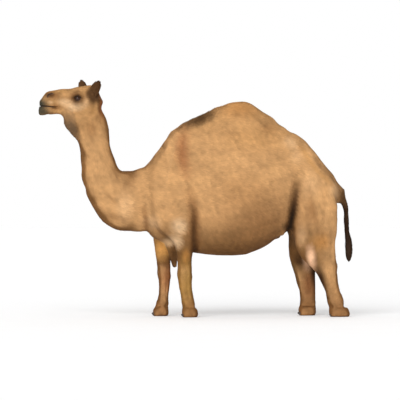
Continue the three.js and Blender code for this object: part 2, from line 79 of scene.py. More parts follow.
EYE = {side: middle_of(f"eye_{side}") for side in SIDES}
EYE_RADIUS = (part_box("eye_left")[1].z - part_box("eye_left")[0].z) / 2
BETWEEN_EYES = (EYE["left"] + EYE["right"]) / 2
HEAD_LEFT = (EYE["left"] - EYE["right"]) / np.linalg.norm(EYE["left"] - EYE["right"])
HEAD_AHEAD = np.cross(HEAD_LEFT, (0, 0, 1))
HEAD_AXES = np.array([HEAD_AHEAD, HEAD_LEFT, (0, 0, 1)])
FOOT = {name: middle_of(name) for name in FEET}
TUFT_LOW, TUFT_HIGH = map(np.array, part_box("tail_tuft"))
FLOOR_GAP = 0.0004  # no hair comes nearer to the floor than this


def in_head(points):
    """Points as (ahead, to the left, up) from the middle between the eyes."""
    return (points - BETWEEN_EYES) @ HEAD_AXES.T


def step(low, high, value):
    """A smooth step from 0 at low to 1 at high, which may be the other way round."""
    t = np.clip((value - low) / (high - low), 0, 1)
    return t * t * (3 - 2 * t)


def bell(distance):
    """1 in the middle, 0 from a distance of 1 on."""
    return step(1, 0, np.abs(distance))


def spot(points, place, radii):
    """1 at a place, less and less towards its radii, 0 beyond them."""
    return bell(np.linalg.norm((points - place) / np.array(radii), axis=1))


def mirrored(points):
    """Points brought over to the positive side of the middle."""
    return np.abs(points) * (0, 1, 0) + points * (1, 0, 1)


def ramp(value, places, amounts):
    return np.interp(value, places, amounts)


class Waves:
    """A smooth random field between about -1 and 1, made of plane waves."""

    def __init__(self, seed, size, count=18):
        rng = np.random.default_rng(seed)
        ways = rng.normal(size=(3, count))
        ways /= np.linalg.norm(ways, axis=0)
        self.ways = ways * rng.uniform(0.6, 1.6, count) * 2 * math.pi / size
        self.phases = rng.uniform(0, 2 * math.pi, count)
        self.scale = 1.6 / math.sqrt(count)

    def __call__(self, points):
        total = np.zeros(len(points))
        for way, phase in zip(self.ways.T, self.phases):
            total += np.sin(points @ way + phase)
        return total * self.scale


# ---------- handling meshes ----------


def deselect_all():
    for o in list(bpy.context.selected_objects):
        o.select_set(False)


def pick(*objects):
    """Selects these objects alone. The last one is active."""
    deselect_all()
    for o in objects:
        o.select_set(True)
    bpy.context.view_layer.objects.active = objects[-1]


def places(obj, what="co"):
    found = np.empty(len(obj.data.vertices) * 3)
    obj.data.vertices.foreach_get(what, found)
    return found.reshape(-1, 3)


def put(obj, points):
    obj.data.vertices.foreach_set("co", np.asarray(points, np.float64).ravel())
    obj.data.update()


def edit_mode(obj, faces=None):
    """Opens an object in edit mode with only these faces selected, or all of them."""
    pick(obj)
    if faces is not None:
        obj.data.vertices.foreach_set("select", np.zeros(len(obj.data.vertices), bool))
        obj.data.edges.foreach_set("select", np.zeros(len(obj.data.edges), bool))
        obj.data.polygons.foreach_set("select", np.asarray(faces, bool))
    bpy.ops.object.mode_set(mode="EDIT")
    bpy.ops.mesh.select_mode(type="FACE")
    if faces is None:
        bpy.ops.mesh.select_all(action="SELECT")


def object_mode():
    bpy.ops.object.mode_set(mode="OBJECT")


def apply_modifier(obj, kind, **settings):
    pick(obj)
    modifier = obj.modifiers.new(kind.title(), kind)
    for name, value in settings.items():
        setattr(modifier, name, value)
    bpy.ops.object.modifier_apply(modifier=modifier.name)


def add_ball(centre, radii, way, segments, rings):
    """A ball with its poles along a way, and with its last radius along it."""
    deselect_all()
    bpy.ops.mesh.primitive_uv_sphere_add(segments=segments, ring_count=rings, radius=1, location=centre)
    ball = bpy.context.object
    ball.scale = radii
    ball.rotation_mode = "QUATERNION"
    ball.rotation_quaternion = Vector(way).to_track_quat("Z", "Y")
    bpy.ops.object.transform_apply(location=True, rotation=True, scale=True)
    return ball


def shade_smooth(obj):
    pick(obj)
    bpy.ops.object.shade_smooth()


def face_middles(obj):
    found = np.empty(len(obj.data.polygons) * 3)
    obj.data.polygons.foreach_get("center", found)
    return found.reshape(-1, 3)


WEIGHT_LEVELS = 50


def set_weights(obj, weights):
    """A vertex group named area, from one weight for each vertex."""
    group = obj.vertex_groups.get("area") or obj.vertex_groups.new(name="area")
    levels = np.round(np.clip(weights, 0, 1) * WEIGHT_LEVELS).astype(int)
    for level in np.unique(levels):
        group.add(np.nonzero(levels == level)[0].tolist(), float(level) / WEIGHT_LEVELS, "REPLACE")


def melt(obj, weights, passes):
    """Smooths the surface where the weights say so."""
    set_weights(obj, weights)
    apply_modifier(obj, "SMOOTH", factor=0.5, iterations=passes, vertex_group="area")


def relax(obj, weights, passes):
    """Smooths the surface, then gives back what the smoothing took off its large shapes."""
    melt(obj, weights, passes)
    once = places(obj)
    melt(obj, weights, passes)
    put(obj, 2 * once - places(obj))


def refine(obj, wanted):
    """Cuts the faces in a part of the mesh into four."""
    edit_mode(obj, wanted(face_middles(obj)))
    bpy.ops.mesh.subdivide(number_cuts=1)
    object_mode()


def copy_of(nodes, name, grow):
    """A merged copy of frame nodes as one object, each node grown by a little so that they meet."""
    copies = []
    for node in nodes:
        copy = bpy.data.objects.new(f"{name}_{node}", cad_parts[node].data.copy())
        bpy.context.scene.collection.objects.link(copy)
        copy.data.materials.clear()
        edit_mode(copy)
        bpy.ops.mesh.remove_doubles(threshold=1e-6)
        object_mode()
        if grow:
            apply_modifier(copy, "DISPLACE", strength=grow, mid_level=0)
        copies.append(copy)
    pick(*copies)
    if len(copies) > 1:
        bpy.ops.object.join()
    joined = bpy.context.view_layer.objects.active
    joined.name = joined.data.name = name
    return joined


# ---------- the skin ----------


def smooth_line(points, steps=8):
    """Points along a Catmull-Rom curve through the given ones."""
    p = np.array(points, float)
    p = np.vstack([2 * p[0] - p[1], p, 2 * p[-1] - p[-2]])
    t = np.linspace(0, 1, steps, endpoint=False)[:, None]
    spans = []
    for a, b, c, d in zip(p, p[1:], p[2:], p[3:]):
        curve = 2 * b + (c - a) * t + (2 * a - 5 * b + 4 * c - d) * t**2 + (3 * b - a - 3 * c + d) * t**3
        spans.append(0.5 * curve)
    return np.vstack([*spans, p[-2]])


def off_line(flat, path):
    """How far each flat point is from a curve, and how far along the curve it is, from 0 to 1."""
    line = smooth_line(path)
    least = np.full(len(flat), np.inf)
    share = np.zeros(len(flat))
    lengths = np.linalg.norm(np.diff(line, axis=0), axis=1)
    starts = np.concatenate([[0], np.cumsum(lengths)]) / lengths.sum()
    for a, b, s, e in zip(line, line[1:], starts, starts[1:]):
        way = b - a
        t = np.clip((flat - a) @ way / (way @ way), 0, 1)
        gap = np.linalg.norm(flat - a - t[:, None] * way, axis=1)
        nearer = gap < least
        least[nearer] = gap[nearer]
        share[nearer] = (s + (e - s) * t)[nearer]
    return least, share


def stroke_share(flat, path, width, end):
    """How strong a stroke along a curve is at each flat point: less at its sides and towards its ends."""
    gap, share = off_line(flat, path)
    return bell(gap / width) * np.sqrt(np.sin(np.pi * np.clip(share, end, 1 - end)))


class Clay:
    """The skin while it is shaped. Each stroke moves its points along their normals."""

    def __init__(self, obj):
        self.obj = obj
        self.look()

    def look(self):
        self.points = places(self.obj)
        self.normals = places(self.obj, "normal")
        self.head = in_head(self.points)

    def even_normals(self, passes):
        """Averages the normals over a wider stretch, so that a deep push folds nothing."""
        mesh = self.obj.data
        ends = np.empty(len(mesh.edges) * 2, int)
        mesh.edges.foreach_get("vertices", ends)
        for _ in range(passes):
            total = self.normals.copy()
            for near, far in (ends.reshape(-1, 2).T, ends.reshape(-1, 2)[:, ::-1].T):
                for axis in range(3):
                    total[:, axis] += np.bincount(near, self.normals[far, axis], len(total))
            self.normals = total / np.maximum(np.linalg.norm(total, axis=1), 1e-9)[:, None]

    def push(self, amounts):
        self.points += self.normals * np.asarray(amounts)[:, None]

    def done(self):
        put(self.obj, self.points)
        self.look()

    def swell(self, centre, radii, amount):
        self.push(amount * spot(self.points, centre, radii))

    def head_swell(self, ahead, left, up, radius, amount, stretch=(1, 1, 1)):
        for side in (-1, 1):
            self.push(amount * spot(self.head, (ahead, side * left, up), radius * np.array(stretch)))

    def stroke(self, flat, path, width, amount, where):
        """A groove, or a ridge if the amount is positive, along a curve drawn on a flat view."""
        change = np.zeros(len(flat))
        change[where] = amount * stroke_share(flat[where], path, width, 0.04)
        self.push(change)

    def side_stroke(self, path, width, amount, side=None, facing=0.25):
        """A stroke seen from the side of the body, on one side or on both."""
        for sign in [SIDES[side]] if side else SIDES.values():
            where = sign * self.normals[:, 1] > facing
            self.stroke(self.points[:, [0, 2]], path, width, amount, where)

    def head_stroke(self, path, width, amount):
        for sign in (-1, 1):
            where = (sign * self.head[:, 1] > 0.008) & (np.abs(self.head).max(axis=1) < 0.45)
            self.stroke(self.head[:, [0, 2]], path, width, amount, where)


def coat_depth(points):
    """How far the skin lies inside the outline, in metres: the depth of the coat there."""
    z = points[:, 2]
    depth = ramp(z, [0.02, 0.1, 0.6, 1.0], [0.002, 0.004, 0.006, 0.008])
    ahead, _, up = in_head(points).T
    on_face = step(-0.22, -0.1, ahead) * step(-0.28, -0.2, up)
    depth = depth * (1 - on_face) + 0.003 * on_face
    depth = depth + 0.016 * crest_hair(points) + 0.012 * throat_hair(points)
    depth = np.where(on_tail(points), tail_hair_depth(z), depth)
    return depth + ear_share(points) * (0.0008 - depth)


def on_tail(points):
    """The hanging part of the tail."""
    x, y, z = points.T
    behind_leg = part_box("hindleg_left")[1].x
    start = ramp(z, [0.5, 0.9, 1.15], [TUFT_LOW[0] - 0.01, TUFT_LOW[0] - 0.02, behind_leg - 0.02])
    return (x > start) & (np.abs(y) < 0.06) & (z > 0.4) & (z < 1.15)


def tail_hair_depth(z):
    bottom, top = TUFT_LOW[2], TUFT_HIGH[2]
    levels = [bottom, bottom + 0.05, bottom + 0.13, top - 0.02, top + 0.06]
    return ramp(z, levels, [0.003, 0.008, 0.02, 0.018, 0.004])


def crest_hair(points):
    """Where the long dark hair grows along the front edge of the hump."""
    x, y, z = points.T
    top = ramp(x, [-0.26, -0.12, 0.1, 0.38], [1.62, 1.70, 1.80, 1.95])
    return step(0.105, 0.04, np.abs(y)) * step(top - 0.09, top - 0.03, z) * bell((x + 0.01) / 0.26)


def throat_hair(points):
    """Where the beard grows under the jaw and down the front of the upper neck."""
    ahead, left, up = in_head(points).T
    front = ramp(up, [-0.36, -0.3, -0.2, -0.12], [0.0, 0.03, 0.08, 0.1])
    along = bell((up + 0.22) / 0.17) * step(front - 0.07, front - 0.02, ahead)
    return along * step(0.085, 0.03, np.abs(left)) * step(0.16, 0.1, ahead)


def ear_line(ear):
    """The middle of an ear's root and of its tip."""
    points = places(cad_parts[ear])
    height = (points[:, 2] - points[:, 2].min()) / np.ptp(points[:, 2])
    return points[height < 0.12].mean(axis=0), points[height > 0.9].mean(axis=0)


def ear_share(points):
    """1 on the ears, less and less away from their roots."""
    share = np.zeros(len(points))
    for ear in EARS:
        root, tip = ear_line(ear)
        way = tip - root
        t = np.clip((points - root) @ way / (way @ way), 0.12, 1)
        gap = np.linalg.norm(points - root - t[:, None] * way, axis=1)
        share = np.maximum(share, step(0.095, 0.035, gap))
    return share


def ear_bulb(ear):
    """The rounded foot of an ear, where it grows out of the head."""
    root, tip = ear_line(ear)
    return add_ball(root + (tip - root) * 0.1, (0.033, 0.026, 0.05), tip - root, 24, 16)


MELT_REACH = 0.036  # the size of the steps that are smoothed away on the trunk


def make_body(voxel):
    """The flesh of the frame melted into one smooth surface."""
    skin = copy_of([*BODY_PARTS, *EYES], "skin", grow=0.0006)
    bulbs = [ear_bulb(ear) for ear in EARS]
    pick(*bulbs, skin)
    bpy.ops.object.join()
    apply_modifier(skin, "REMESH", mode="VOXEL", voxel_size=voxel)
    edit_mode(skin)
    bpy.ops.mesh.remove_doubles(threshold=voxel * 0.3)
    bpy.ops.mesh.dissolve_degenerate(threshold=voxel * 0.1)
    object_mode()
    points = places(skin)
    ahead, _, up = in_head(points).T
    z = points[:, 2]
    reach = MELT_REACH + (0.017 - MELT_REACH) * step(0.85, 0.55, z)
    reach = reach + (0.010 - reach) * step(0.11, 0.06, z)
    reach = reach + (0.0095 - reach) * step(-0.26, -0.1, ahead) * step(-0.32, -0.2, up)
    reach = np.where(on_tail(points), 0.01, reach)
    passes = int(round((MELT_REACH / voxel) ** 2 * 4))
    relax(skin, (reach / MELT_REACH) ** 2, passes)
    ease_joins(skin)
    return skin


# Where parts of the frame meet at an angle: the place and radii of the stretch that is eased, on both sides.
NECK_JOIN = ((-0.46, 0.0, 1.0), (0.17, 9.0, 0.9))
EASED = [
    ((0.77, 0.15, 0.72), (0.17, 0.22, 0.17)),
    ((-0.44, 0.18, 1.0), (0.1, 0.15, 0.4)),
    ((0.3, 0.0, 0.5), (0.7, 0.3, 0.1)),
    ((-0.21, 0.0, 0.45), (0.1, 0.085, 0.15)),
]


def near_place(points, place, radii):
    """1 at a place and at its mirror image on the other side, 0 outside its radii."""
    return spot(mirrored(points), place, radii)


def ease_joins(skin):
    """Smooths away the steps that are left where parts of the frame met."""
    points = places(skin)
    x, y, z = points.T
    pad = near_place(points, (-0.21, 0, 0.45), (0.16, 0.1, 0.2))
    points[:, 0] += pad * 0.35 * (-0.205 - x) * step(0.6, 0.45, z)
    points[:, 1] -= pad * 0.35 * y * step(0.6, 0.45, z)
    put(skin, points)
    relax(skin, 1.5 * near_place(points, *NECK_JOIN), 90)
    points = places(skin)
    melt(skin, 1.6 * np.max([near_place(points, *stretch) for stretch in EASED], axis=0), 60)


# The fold of the flank, where the thigh meets the belly, seen from the side.
FLANK_FOLD = [
    (0.89, 1.32), (0.874, 1.2), (0.858, 1.1), (0.842, 1.0), (0.83, 0.9), (0.822, 0.82), (0.835, 0.72),
]
JUGULAR_GROOVE = [(-1.0, 1.66), (-0.93, 1.45), (-0.9, 1.28), (-0.83, 1.1), (-0.7, 0.96), (-0.56, 0.9)]
# Grooves and ridges of the trunk: path seen from the side, width, height and side.
TRUNK_STROKES = [
    ([(-0.12, 1.68), (-0.165, 1.5), (-0.14, 1.28), (-0.07, 1.1)], 0.05, -0.009, None),
    ([(-0.1, 1.16), (-0.06, 0.98), (-0.045, 0.76), (-0.035, 0.6)], 0.065, -0.015, "left"),
    ([(-0.16, 1.12), (-0.13, 0.96), (-0.12, 0.78), (-0.13, 0.6)], 0.065, -0.012, "right"),
    (FLANK_FOLD, 0.045, -0.018, None),
    ([(-0.5, 0.92), (-0.46, 0.82), (-0.43, 0.72)], 0.05, -0.007, None),
    ([(-0.16, 1.6), (-0.235, 1.4), (-0.3, 1.16)], 0.03, 0.006, None),
    (JUGULAR_GROOVE, 0.045, -0.008, None),
    ([(1.17, 1.17), (1.13, 0.98), (1.12, 0.8), (1.15, 0.64)], 0.035, -0.008, None),
    ([(0.93, 1.45), (0.9, 1.22), (0.885, 0.98)], 0.06, -0.007, None),
]
# Bones and hollows on both sides of the trunk: place, radii and height.
TRUNK_SWELLS = [
    ((0.73, 0.26, 1.4), (0.12, 0.2, 0.13), -0.012),
    ((0.9, 0.14, 1.52), (0.075, 0.1, 0.07), 0.012),
    ((1.235, 0.1, 1.17), (0.06, 0.08, 0.06), 0.009),
    ((-0.24, 0.26, 0.92), (0.13, 0.12, 0.16), 0.012),
    ((-0.4, 0.2, 1.2), (0.09, 0.12, 0.12), 0.008),
]


def shape_trunk(clay):
    for stroke in TRUNK_STROKES:
        clay.side_stroke(*stroke)
    for side in (-1, 1):
        for (x, y, z), radii, amount in TRUNK_SWELLS:
            clay.swell((x, side * y, z), radii, amount)
    waves = Waves(5, 0.16)(clay.points) * step(0.5, 0.8, clay.points[:, 2])
    clay.push(0.0022 * waves * (1 - ear_share(clay.points)))
    clay.done()


def shape_legs(clay):
    """Knees, hocks, tendons and the two toes of each foot, each placed from its foot or leg in the frame."""
    for name in LEGS:
        side = SIDES[name.split("_")[1]]
        foot_name = name.replace("leg", "foot")
        foot = FOOT[foot_name]
        own = side * clay.points[:, 1] > 0
        x, y, z = clay.points.T
        front, middle, back = leg_line(clay, name)
        if name.startswith("fore"):
            clay.swell((front(0.385), foot[1], 0.385), (0.05, 0.055, 0.062), 0.008)
            clay.swell((back(0.385), foot[1], 0.36), (0.03, 0.04, 0.04), 0.006)
            tendon = [(middle(h) + 0.017, h) for h in (0.33, 0.26, 0.18)]
        else:
            clay.swell((back(0.45), foot[1], 0.455), (0.045, 0.05, 0.06), 0.012)
            clay.swell((front(0.45), foot[1], 0.38), (0.04, 0.045, 0.05), 0.005)
            cord = [(back(h) - 0.045, h) for h in (0.74, 0.62, 0.52)]
            clay.stroke(clay.points[:, [0, 2]], cord, 0.026, -0.010, own & (np.abs(clay.normals[:, 1]) > 0.2))
            tendon = [(middle(h) + 0.018, h) for h in (0.36, 0.28, 0.19)]
        clay.stroke(clay.points[:, [0, 2]], tendon, 0.013, -0.006, own & (np.abs(clay.normals[:, 1]) > 0.3))
        clay.swell((middle(0.125), foot[1], 0.125), (0.08, 0.08, 0.035), 0.004)
        clay.swell((back(0.12) - 0.005, foot[1], 0.115), (0.03, 0.045, 0.03), 0.004)
        low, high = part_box(foot_name)
        half = (high.x - low.x) / 2
        gap = bell((y - foot[1]) / 0.015) * step(foot[0] + 0.35 * half, foot[0] - 0.1 * half, x) * own
        clay.push(-0.012 * gap * step(0.1, 0.07, z) * step(0.004, 0.02, z))
        clay.done()


def leg_line(clay, name):
    """Functions of height that give the front, middle and back of one leg."""
    side = SIDES[name.split("_")[1]]
    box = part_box(name)
    x, y, z = clay.points.T
    own = (side * y > 0.03) & (x > box[0].x - 0.02) & (x < box[1].x + 0.02)
    heights = np.arange(0.1, 0.8, 0.02)
    rows = [x[own & (np.abs(z - h) < 0.012)] for h in heights]
    lows, highs = np.array([row.min() for row in rows]), np.array([row.max() for row in rows])
    lines = (lows, (lows + highs) / 2, highs)
    return [functools.partial(np.interp, xp=heights, fp=line) for line in lines]


def shape_face(clay):
    """The bones, hollows and muscles of the head, in places measured from the middle between the eyes."""
    clay.head_swell(-0.062, 0.058, 0.05, 0.04, -0.008)
    clay.head_swell(-0.045, 0.07, -0.055, 0.05, 0.004, (1.6, 1, 0.7))
    clay.head_swell(0.135, 0.052, -0.012, 0.05, -0.006, (1.5, 1, 1))
    clay.head_swell(0.05, 0.06, -0.09, 0.045, -0.005, (1.5, 1, 1))
    clay.head_stroke([(-0.01, -0.05), (0.05, -0.036), (0.12, -0.016)], 0.018, 0.005)
    clay.head_stroke([(-0.13, 0.01), (-0.142, -0.07), (-0.12, -0.14), (-0.07, -0.175)], 0.03, -0.005)
    clay.head_stroke([(0.015, -0.06), (0.0, -0.1), (-0.02, -0.15)], 0.026, -0.004)
    clay.head_stroke([(0.0, 0.058), (0.09, 0.066), (0.19, 0.058)], 0.014, 0.0025)
    clay.done()


MUZZLE_CORNER = (0.295, 0.034, -0.024)
LIP_LINE = [(0.165, -0.073), (0.2, -0.0755), (0.24, -0.073), (0.28, -0.0685), (0.335, -0.0665)]
NOSTRIL = [(0.271, 0.012), (0.268, 0.026), (0.256, 0.0375), (0.238, 0.043), (0.222, 0.0425)]


def lip_level(ahead):
    """The height of the line between the lips."""
    return np.interp(ahead, *np.array(LIP_LINE).T)


def shape_mouth(clay):
    ahead, left, up = clay.head.T
    level = lip_level(ahead)
    fade = step(0.165, 0.2, ahead)
    near = np.abs(left) < 0.075
    clay.push(0.0035 * fade * near * bell((up - level - 0.011) / 0.01))
    clay.push(0.003 * fade * near * bell((up - level + 0.012) / 0.01))
    clay.push(-0.0085 * fade * near * bell((up - level) / 0.0065))
    cleft = step(0.27, 0.3, ahead) * step(-0.066, -0.058, up) * step(0.012, -0.01, up)
    clay.push(-0.005 * bell(left / 0.006) * cleft)
    clay.head_stroke([(0.17, -0.05), (0.16, -0.075), (0.165, -0.1)], 0.012, -0.003)
    clay.head_stroke([(0.262, -0.012), (0.235, -0.03), (0.205, -0.058)], 0.012, -0.002)
    clay.done()
    clay.head_stroke(NOSTRIL, 0.017, 0.005)
    clay.done()
    clay.head_stroke(NOSTRIL, 0.0062, -0.0135)
    clay.done()


EYE_AXIS = {
    side: HEAD_AHEAD * 0.36 - HEAD_LEFT * sign * 0.92 + np.array((0, 0, 0.1)) for side, sign in SIDES.items()
}
# The opening between the lids, in degrees at the eye's centre. Its front corner is drawn down.
APERTURE = {"half_width": 57, "upper": 34, "lower": 31}
CORNER_DROP = 9


def eye_axes(side):
    """An eye's own ways out of the head, ahead and up, each of length 1."""
    out = EYE_AXIS[side] / np.linalg.norm(EYE_AXIS[side])
    ahead = np.cross(out, (0, 0, 1))
    ahead *= np.sign(ahead @ HEAD_AHEAD) / np.linalg.norm(ahead)
    up = np.cross(out, ahead)
    return out, ahead, up * np.sign(up[2])


def eye_angles(points, side):
    """Each point's distance and way from the eye's centre, and its angles ahead and up, in degrees."""
    out, ahead, up = eye_axes(side)
    way = points - EYE[side]
    distance = np.linalg.norm(way, axis=1)
    way = way / np.maximum(distance, 1e-9)[:, None]
    across, height = (np.degrees(np.arctan2(way @ axis, way @ out)) for axis in (ahead, up))
    return distance, way, across, height


def shape_lids(clay, side):
    """Wraps the skin round the eye as two lids with an almond-shaped opening."""
    distance, way, across, height = eye_angles(clay.points, side)
    near = np.nonzero((distance < 0.075) & (np.abs(across) < 110) & (np.abs(height) < 110))[0]
    d, w, a, b = distance[near], way[near], across[near], height[near]
    away = step(75, 108, np.maximum(np.abs(a), np.abs(b)))
    b = b + CORNER_DROP * step(5, 60, a)
    tall = np.where(b > 0, APERTURE["upper"], APERTURE["lower"])
    rho = np.sqrt((a / APERTURE["half_width"]) ** 2 + (b / tall) ** 2)
    lid = EYE_RADIUS + 0.0034 + 0.0016 * bell((b - 30) / 40) * (b > 0)
    radius = lid + (d - lid) * step(1.3, 2.3, rho)
    radius -= 0.0028 * bell((rho - 1.62) / 0.24) * step(-10, 20, b)
    radius -= 0.0018 * bell((rho - 1.7) / 0.25) * step(0, -20, b)
    radius += 0.0035 * bell((rho - 2.15) / 0.5) * step(0, 30, b) * step(95, 50, np.abs(a))
    radius += (d - radius) * away
    inner = EYE_RADIUS - 0.006
    radius = inner + (radius - inner) * step(0.9, 1.03, rho)
    clay.points[near] = EYE[side] + w * radius[:, None]
    clay.done()


def near_ear(points, ear, margin, root):
    """Which points are in the box round an ear, above a height over its foot."""
    low, high = map(np.array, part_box(ear))
    low[2] += root
    return ((points > low - margin) & (points < high + margin)).all(axis=1)


def on_ears(points, margin=0.004):
    """Which points are on the free part of an ear."""
    return near_ear(points, EARS[0], margin, 0.05) | near_ear(points, EARS[1], margin, 0.05)


SLIVER = 0.001  # the shortest edge that is kept where two shapes have been joined


def add_ears(skin):
    """Joins the two thin ears to the head as part of the same surface."""
    for ear in EARS:
        piece = copy_of([ear], "ear_flesh", grow=0.0028)
        apply_modifier(piece, "REMESH", mode="VOXEL", voxel_size=0.0027)
        relax(piece, np.ones(len(piece.data.vertices)), 10)
        apply_modifier(skin, "BOOLEAN", operation="UNION", object=piece, solver="EXACT")
        bpy.data.objects.remove(piece)
    near = ear_share(face_middles(skin)) > 0.02
    edit_mode(skin, near)
    bpy.ops.mesh.remove_doubles(threshold=SLIVER)
    bpy.ops.mesh.dissolve_degenerate(threshold=SLIVER)
    bpy.ops.mesh.delete_loose(use_verts=True, use_edges=True, use_faces=False)
    bpy.ops.mesh.quads_convert_to_tris()
    bpy.ops.mesh.tris_convert_to_quads()
    object_mode()
    feet = [root + (tip - root) * 0.22 for root, tip in map(ear_line, EARS)]
    relax(skin, np.max([spot(places(skin), foot, 0.055) for foot in feet], axis=0), 14)


def face_area(ahead, up):
    """Where the face is finest: round the lips and the nostrils."""
    lips = (np.abs(up - lip_level(ahead)) < 0.013) & (ahead > 0.165)
    nostril = np.hypot((ahead - 0.25) / 0.036, (up - 0.028) / 0.028) < 1
    return lips | nostril


def even_head(skin, back):
    """Evens out the faces of the head, ahead of a place, and of the feet."""
    points = places(skin)
    ahead, _, up = in_head(points).T
    coarse = step(back - 0.03, back, ahead) * step(-0.21, -0.18, up) + step(0.11, 0.09, points[:, 2])
    relax(skin, 0.8 * coarse * (1 - ear_share(points)), 6)


# Where the head and the face begin, ahead of the middle between the eyes, and where the feet end.
HEAD_BACK = -0.19
FACE_BACK = -0.17
FOOT_TOP = 0.1


def make_skin(voxel, most):
    """The skin, from its large shapes to its finest: body and ears, muscles, coat's depth, face and lids."""
    skin = make_body(voxel)
    refine(skin, lambda p: (in_head(p)[:, 0] > HEAD_BACK) & (in_head(p)[:, 2] > -0.2))
    even_head(skin, HEAD_BACK)
    add_ears(skin)
    clay = Clay(skin)
    shape_trunk(clay)
    shape_legs(clay)
    clay.even_normals(10)
    clay.push(-coat_depth(clay.points))
    clay.done()
    jaw = spot(clay.head, (0.0, 0, -0.21), (0.15, 0.12, 0.12))
    nape = spot(clay.head, (-0.25, 0, -0.05), (0.13, 0.14, 0.17))
    cheek = spot(mirrored(clay.head), (0.01, 0.1, -0.078), (0.045, 0.08, 0.045))
    melt(skin, np.max([jaw, nape, cheek], axis=0) * (1 - ear_share(clay.points)), 70)

    refine(skin, lambda p: p[:, 2] < FOOT_TOP)
    even_head(skin, FACE_BACK)
    clay.look()
    shape_face(clay)
    refine(skin, lambda p: (in_head(p)[:, 0] > 0.15) | near_eyes(p, 0.052))
    refine(skin, lambda p: face_area(*in_head(p)[:, [0, 2]].T) | near_eyes(p, 0.034))
    points = places(skin)
    relax(skin, 0.8 * np.maximum(step(0.14, 0.17, in_head(points)[:, 0]), near_eyes(points, 0.05)), 5)
    relax(skin, spot(mirrored(in_head(points)), MUZZLE_CORNER, 0.045), 24)
    clay.look()
    shape_mouth(clay)
    for side in SIDES:
        shape_lids(clay, side)
    points = places(skin)
    points[:, 2] = np.maximum(points[:, 2], 0)
    put(skin, points)
    thin_out(skin, most)
    shade_smooth(skin)
    return skin


def thin_out(skin, most):
    """Takes triangles out of the broad smooth parts of the skin, and none from the head, feet and ears."""
    points = places(skin)
    ahead, _, up = in_head(points).T
    fine = (ahead > -0.22) & (up > -0.18) | (points[:, 2] < 0.09) | on_ears(points, 0.04)
    set_weights(skin, np.where(fine, 0.0, 1.0))
    triangles = sum(len(face.vertices) - 2 for face in skin.data.polygons)
    if triangles > most:
        apply_modifier(skin, "DECIMATE", ratio=most / triangles, vertex_group="area", vertex_group_factor=1)


def near_eyes(points, reach):
    near = np.zeros(len(points), bool)
    for side in SIDES:
        near |= np.linalg.norm(points - EYE[side] + HEAD_LEFT * SIDES[side] * 0.012, axis=1) < reach
    return near


# ---------- the markings, the same for skin and coat ----------


def srgb(red, green, blue):
    """A colour given as it looks on a screen, from 0 to 255, as the linear values that a material holds."""
    value = np.array((red, green, blue)) / 255
    return np.where(value < 0.04045, value / 12.92, ((value + 0.055) / 1.055) ** 2.4)


SAND = srgb(187, 142, 94)
PALE = srgb(232, 189, 142)
OCHRE = srgb(180, 132, 78)
GOLD = srgb(182, 124, 62)
RUSSET = srgb(142, 82, 46)
BROWN = srgb(112, 70, 34)
UMBER = srgb(72, 46, 22)
SOOT = srgb(42, 25, 12)
# Painted shade in the deepest creases.
CREASE_SHADE = srgb(14, 8, 3)
DUSK = srgb(50, 28, 8)
HONEY = srgb(164, 114, 64)
GREY_GREEN = srgb(56, 55, 43)
SHIN = srgb(150, 112, 54)
# Painted shade at the edges of the body, neck and legs.
RIM_SHADE = srgb(112, 76, 42)
# The lower belly's brown, partly painted shade.
BELLY_BROWN_AND_SHADE = srgb(98, 64, 30)
EAR_BROWN = srgb(72, 46, 24)
BEARD = srgb(112, 88, 64)
# A painted highlight.
PINK_HIGHLIGHT = srgb(232, 184, 146)
# Painted shade on the far hind leg.
OLIVE_SHADE = srgb(96, 84, 52)
# A painted highlight on the far foreleg, where it lies in shade.
SAFFRON_HIGHLIGHT = srgb(226, 166, 92)
LIGHT = srgb(246, 206, 160)

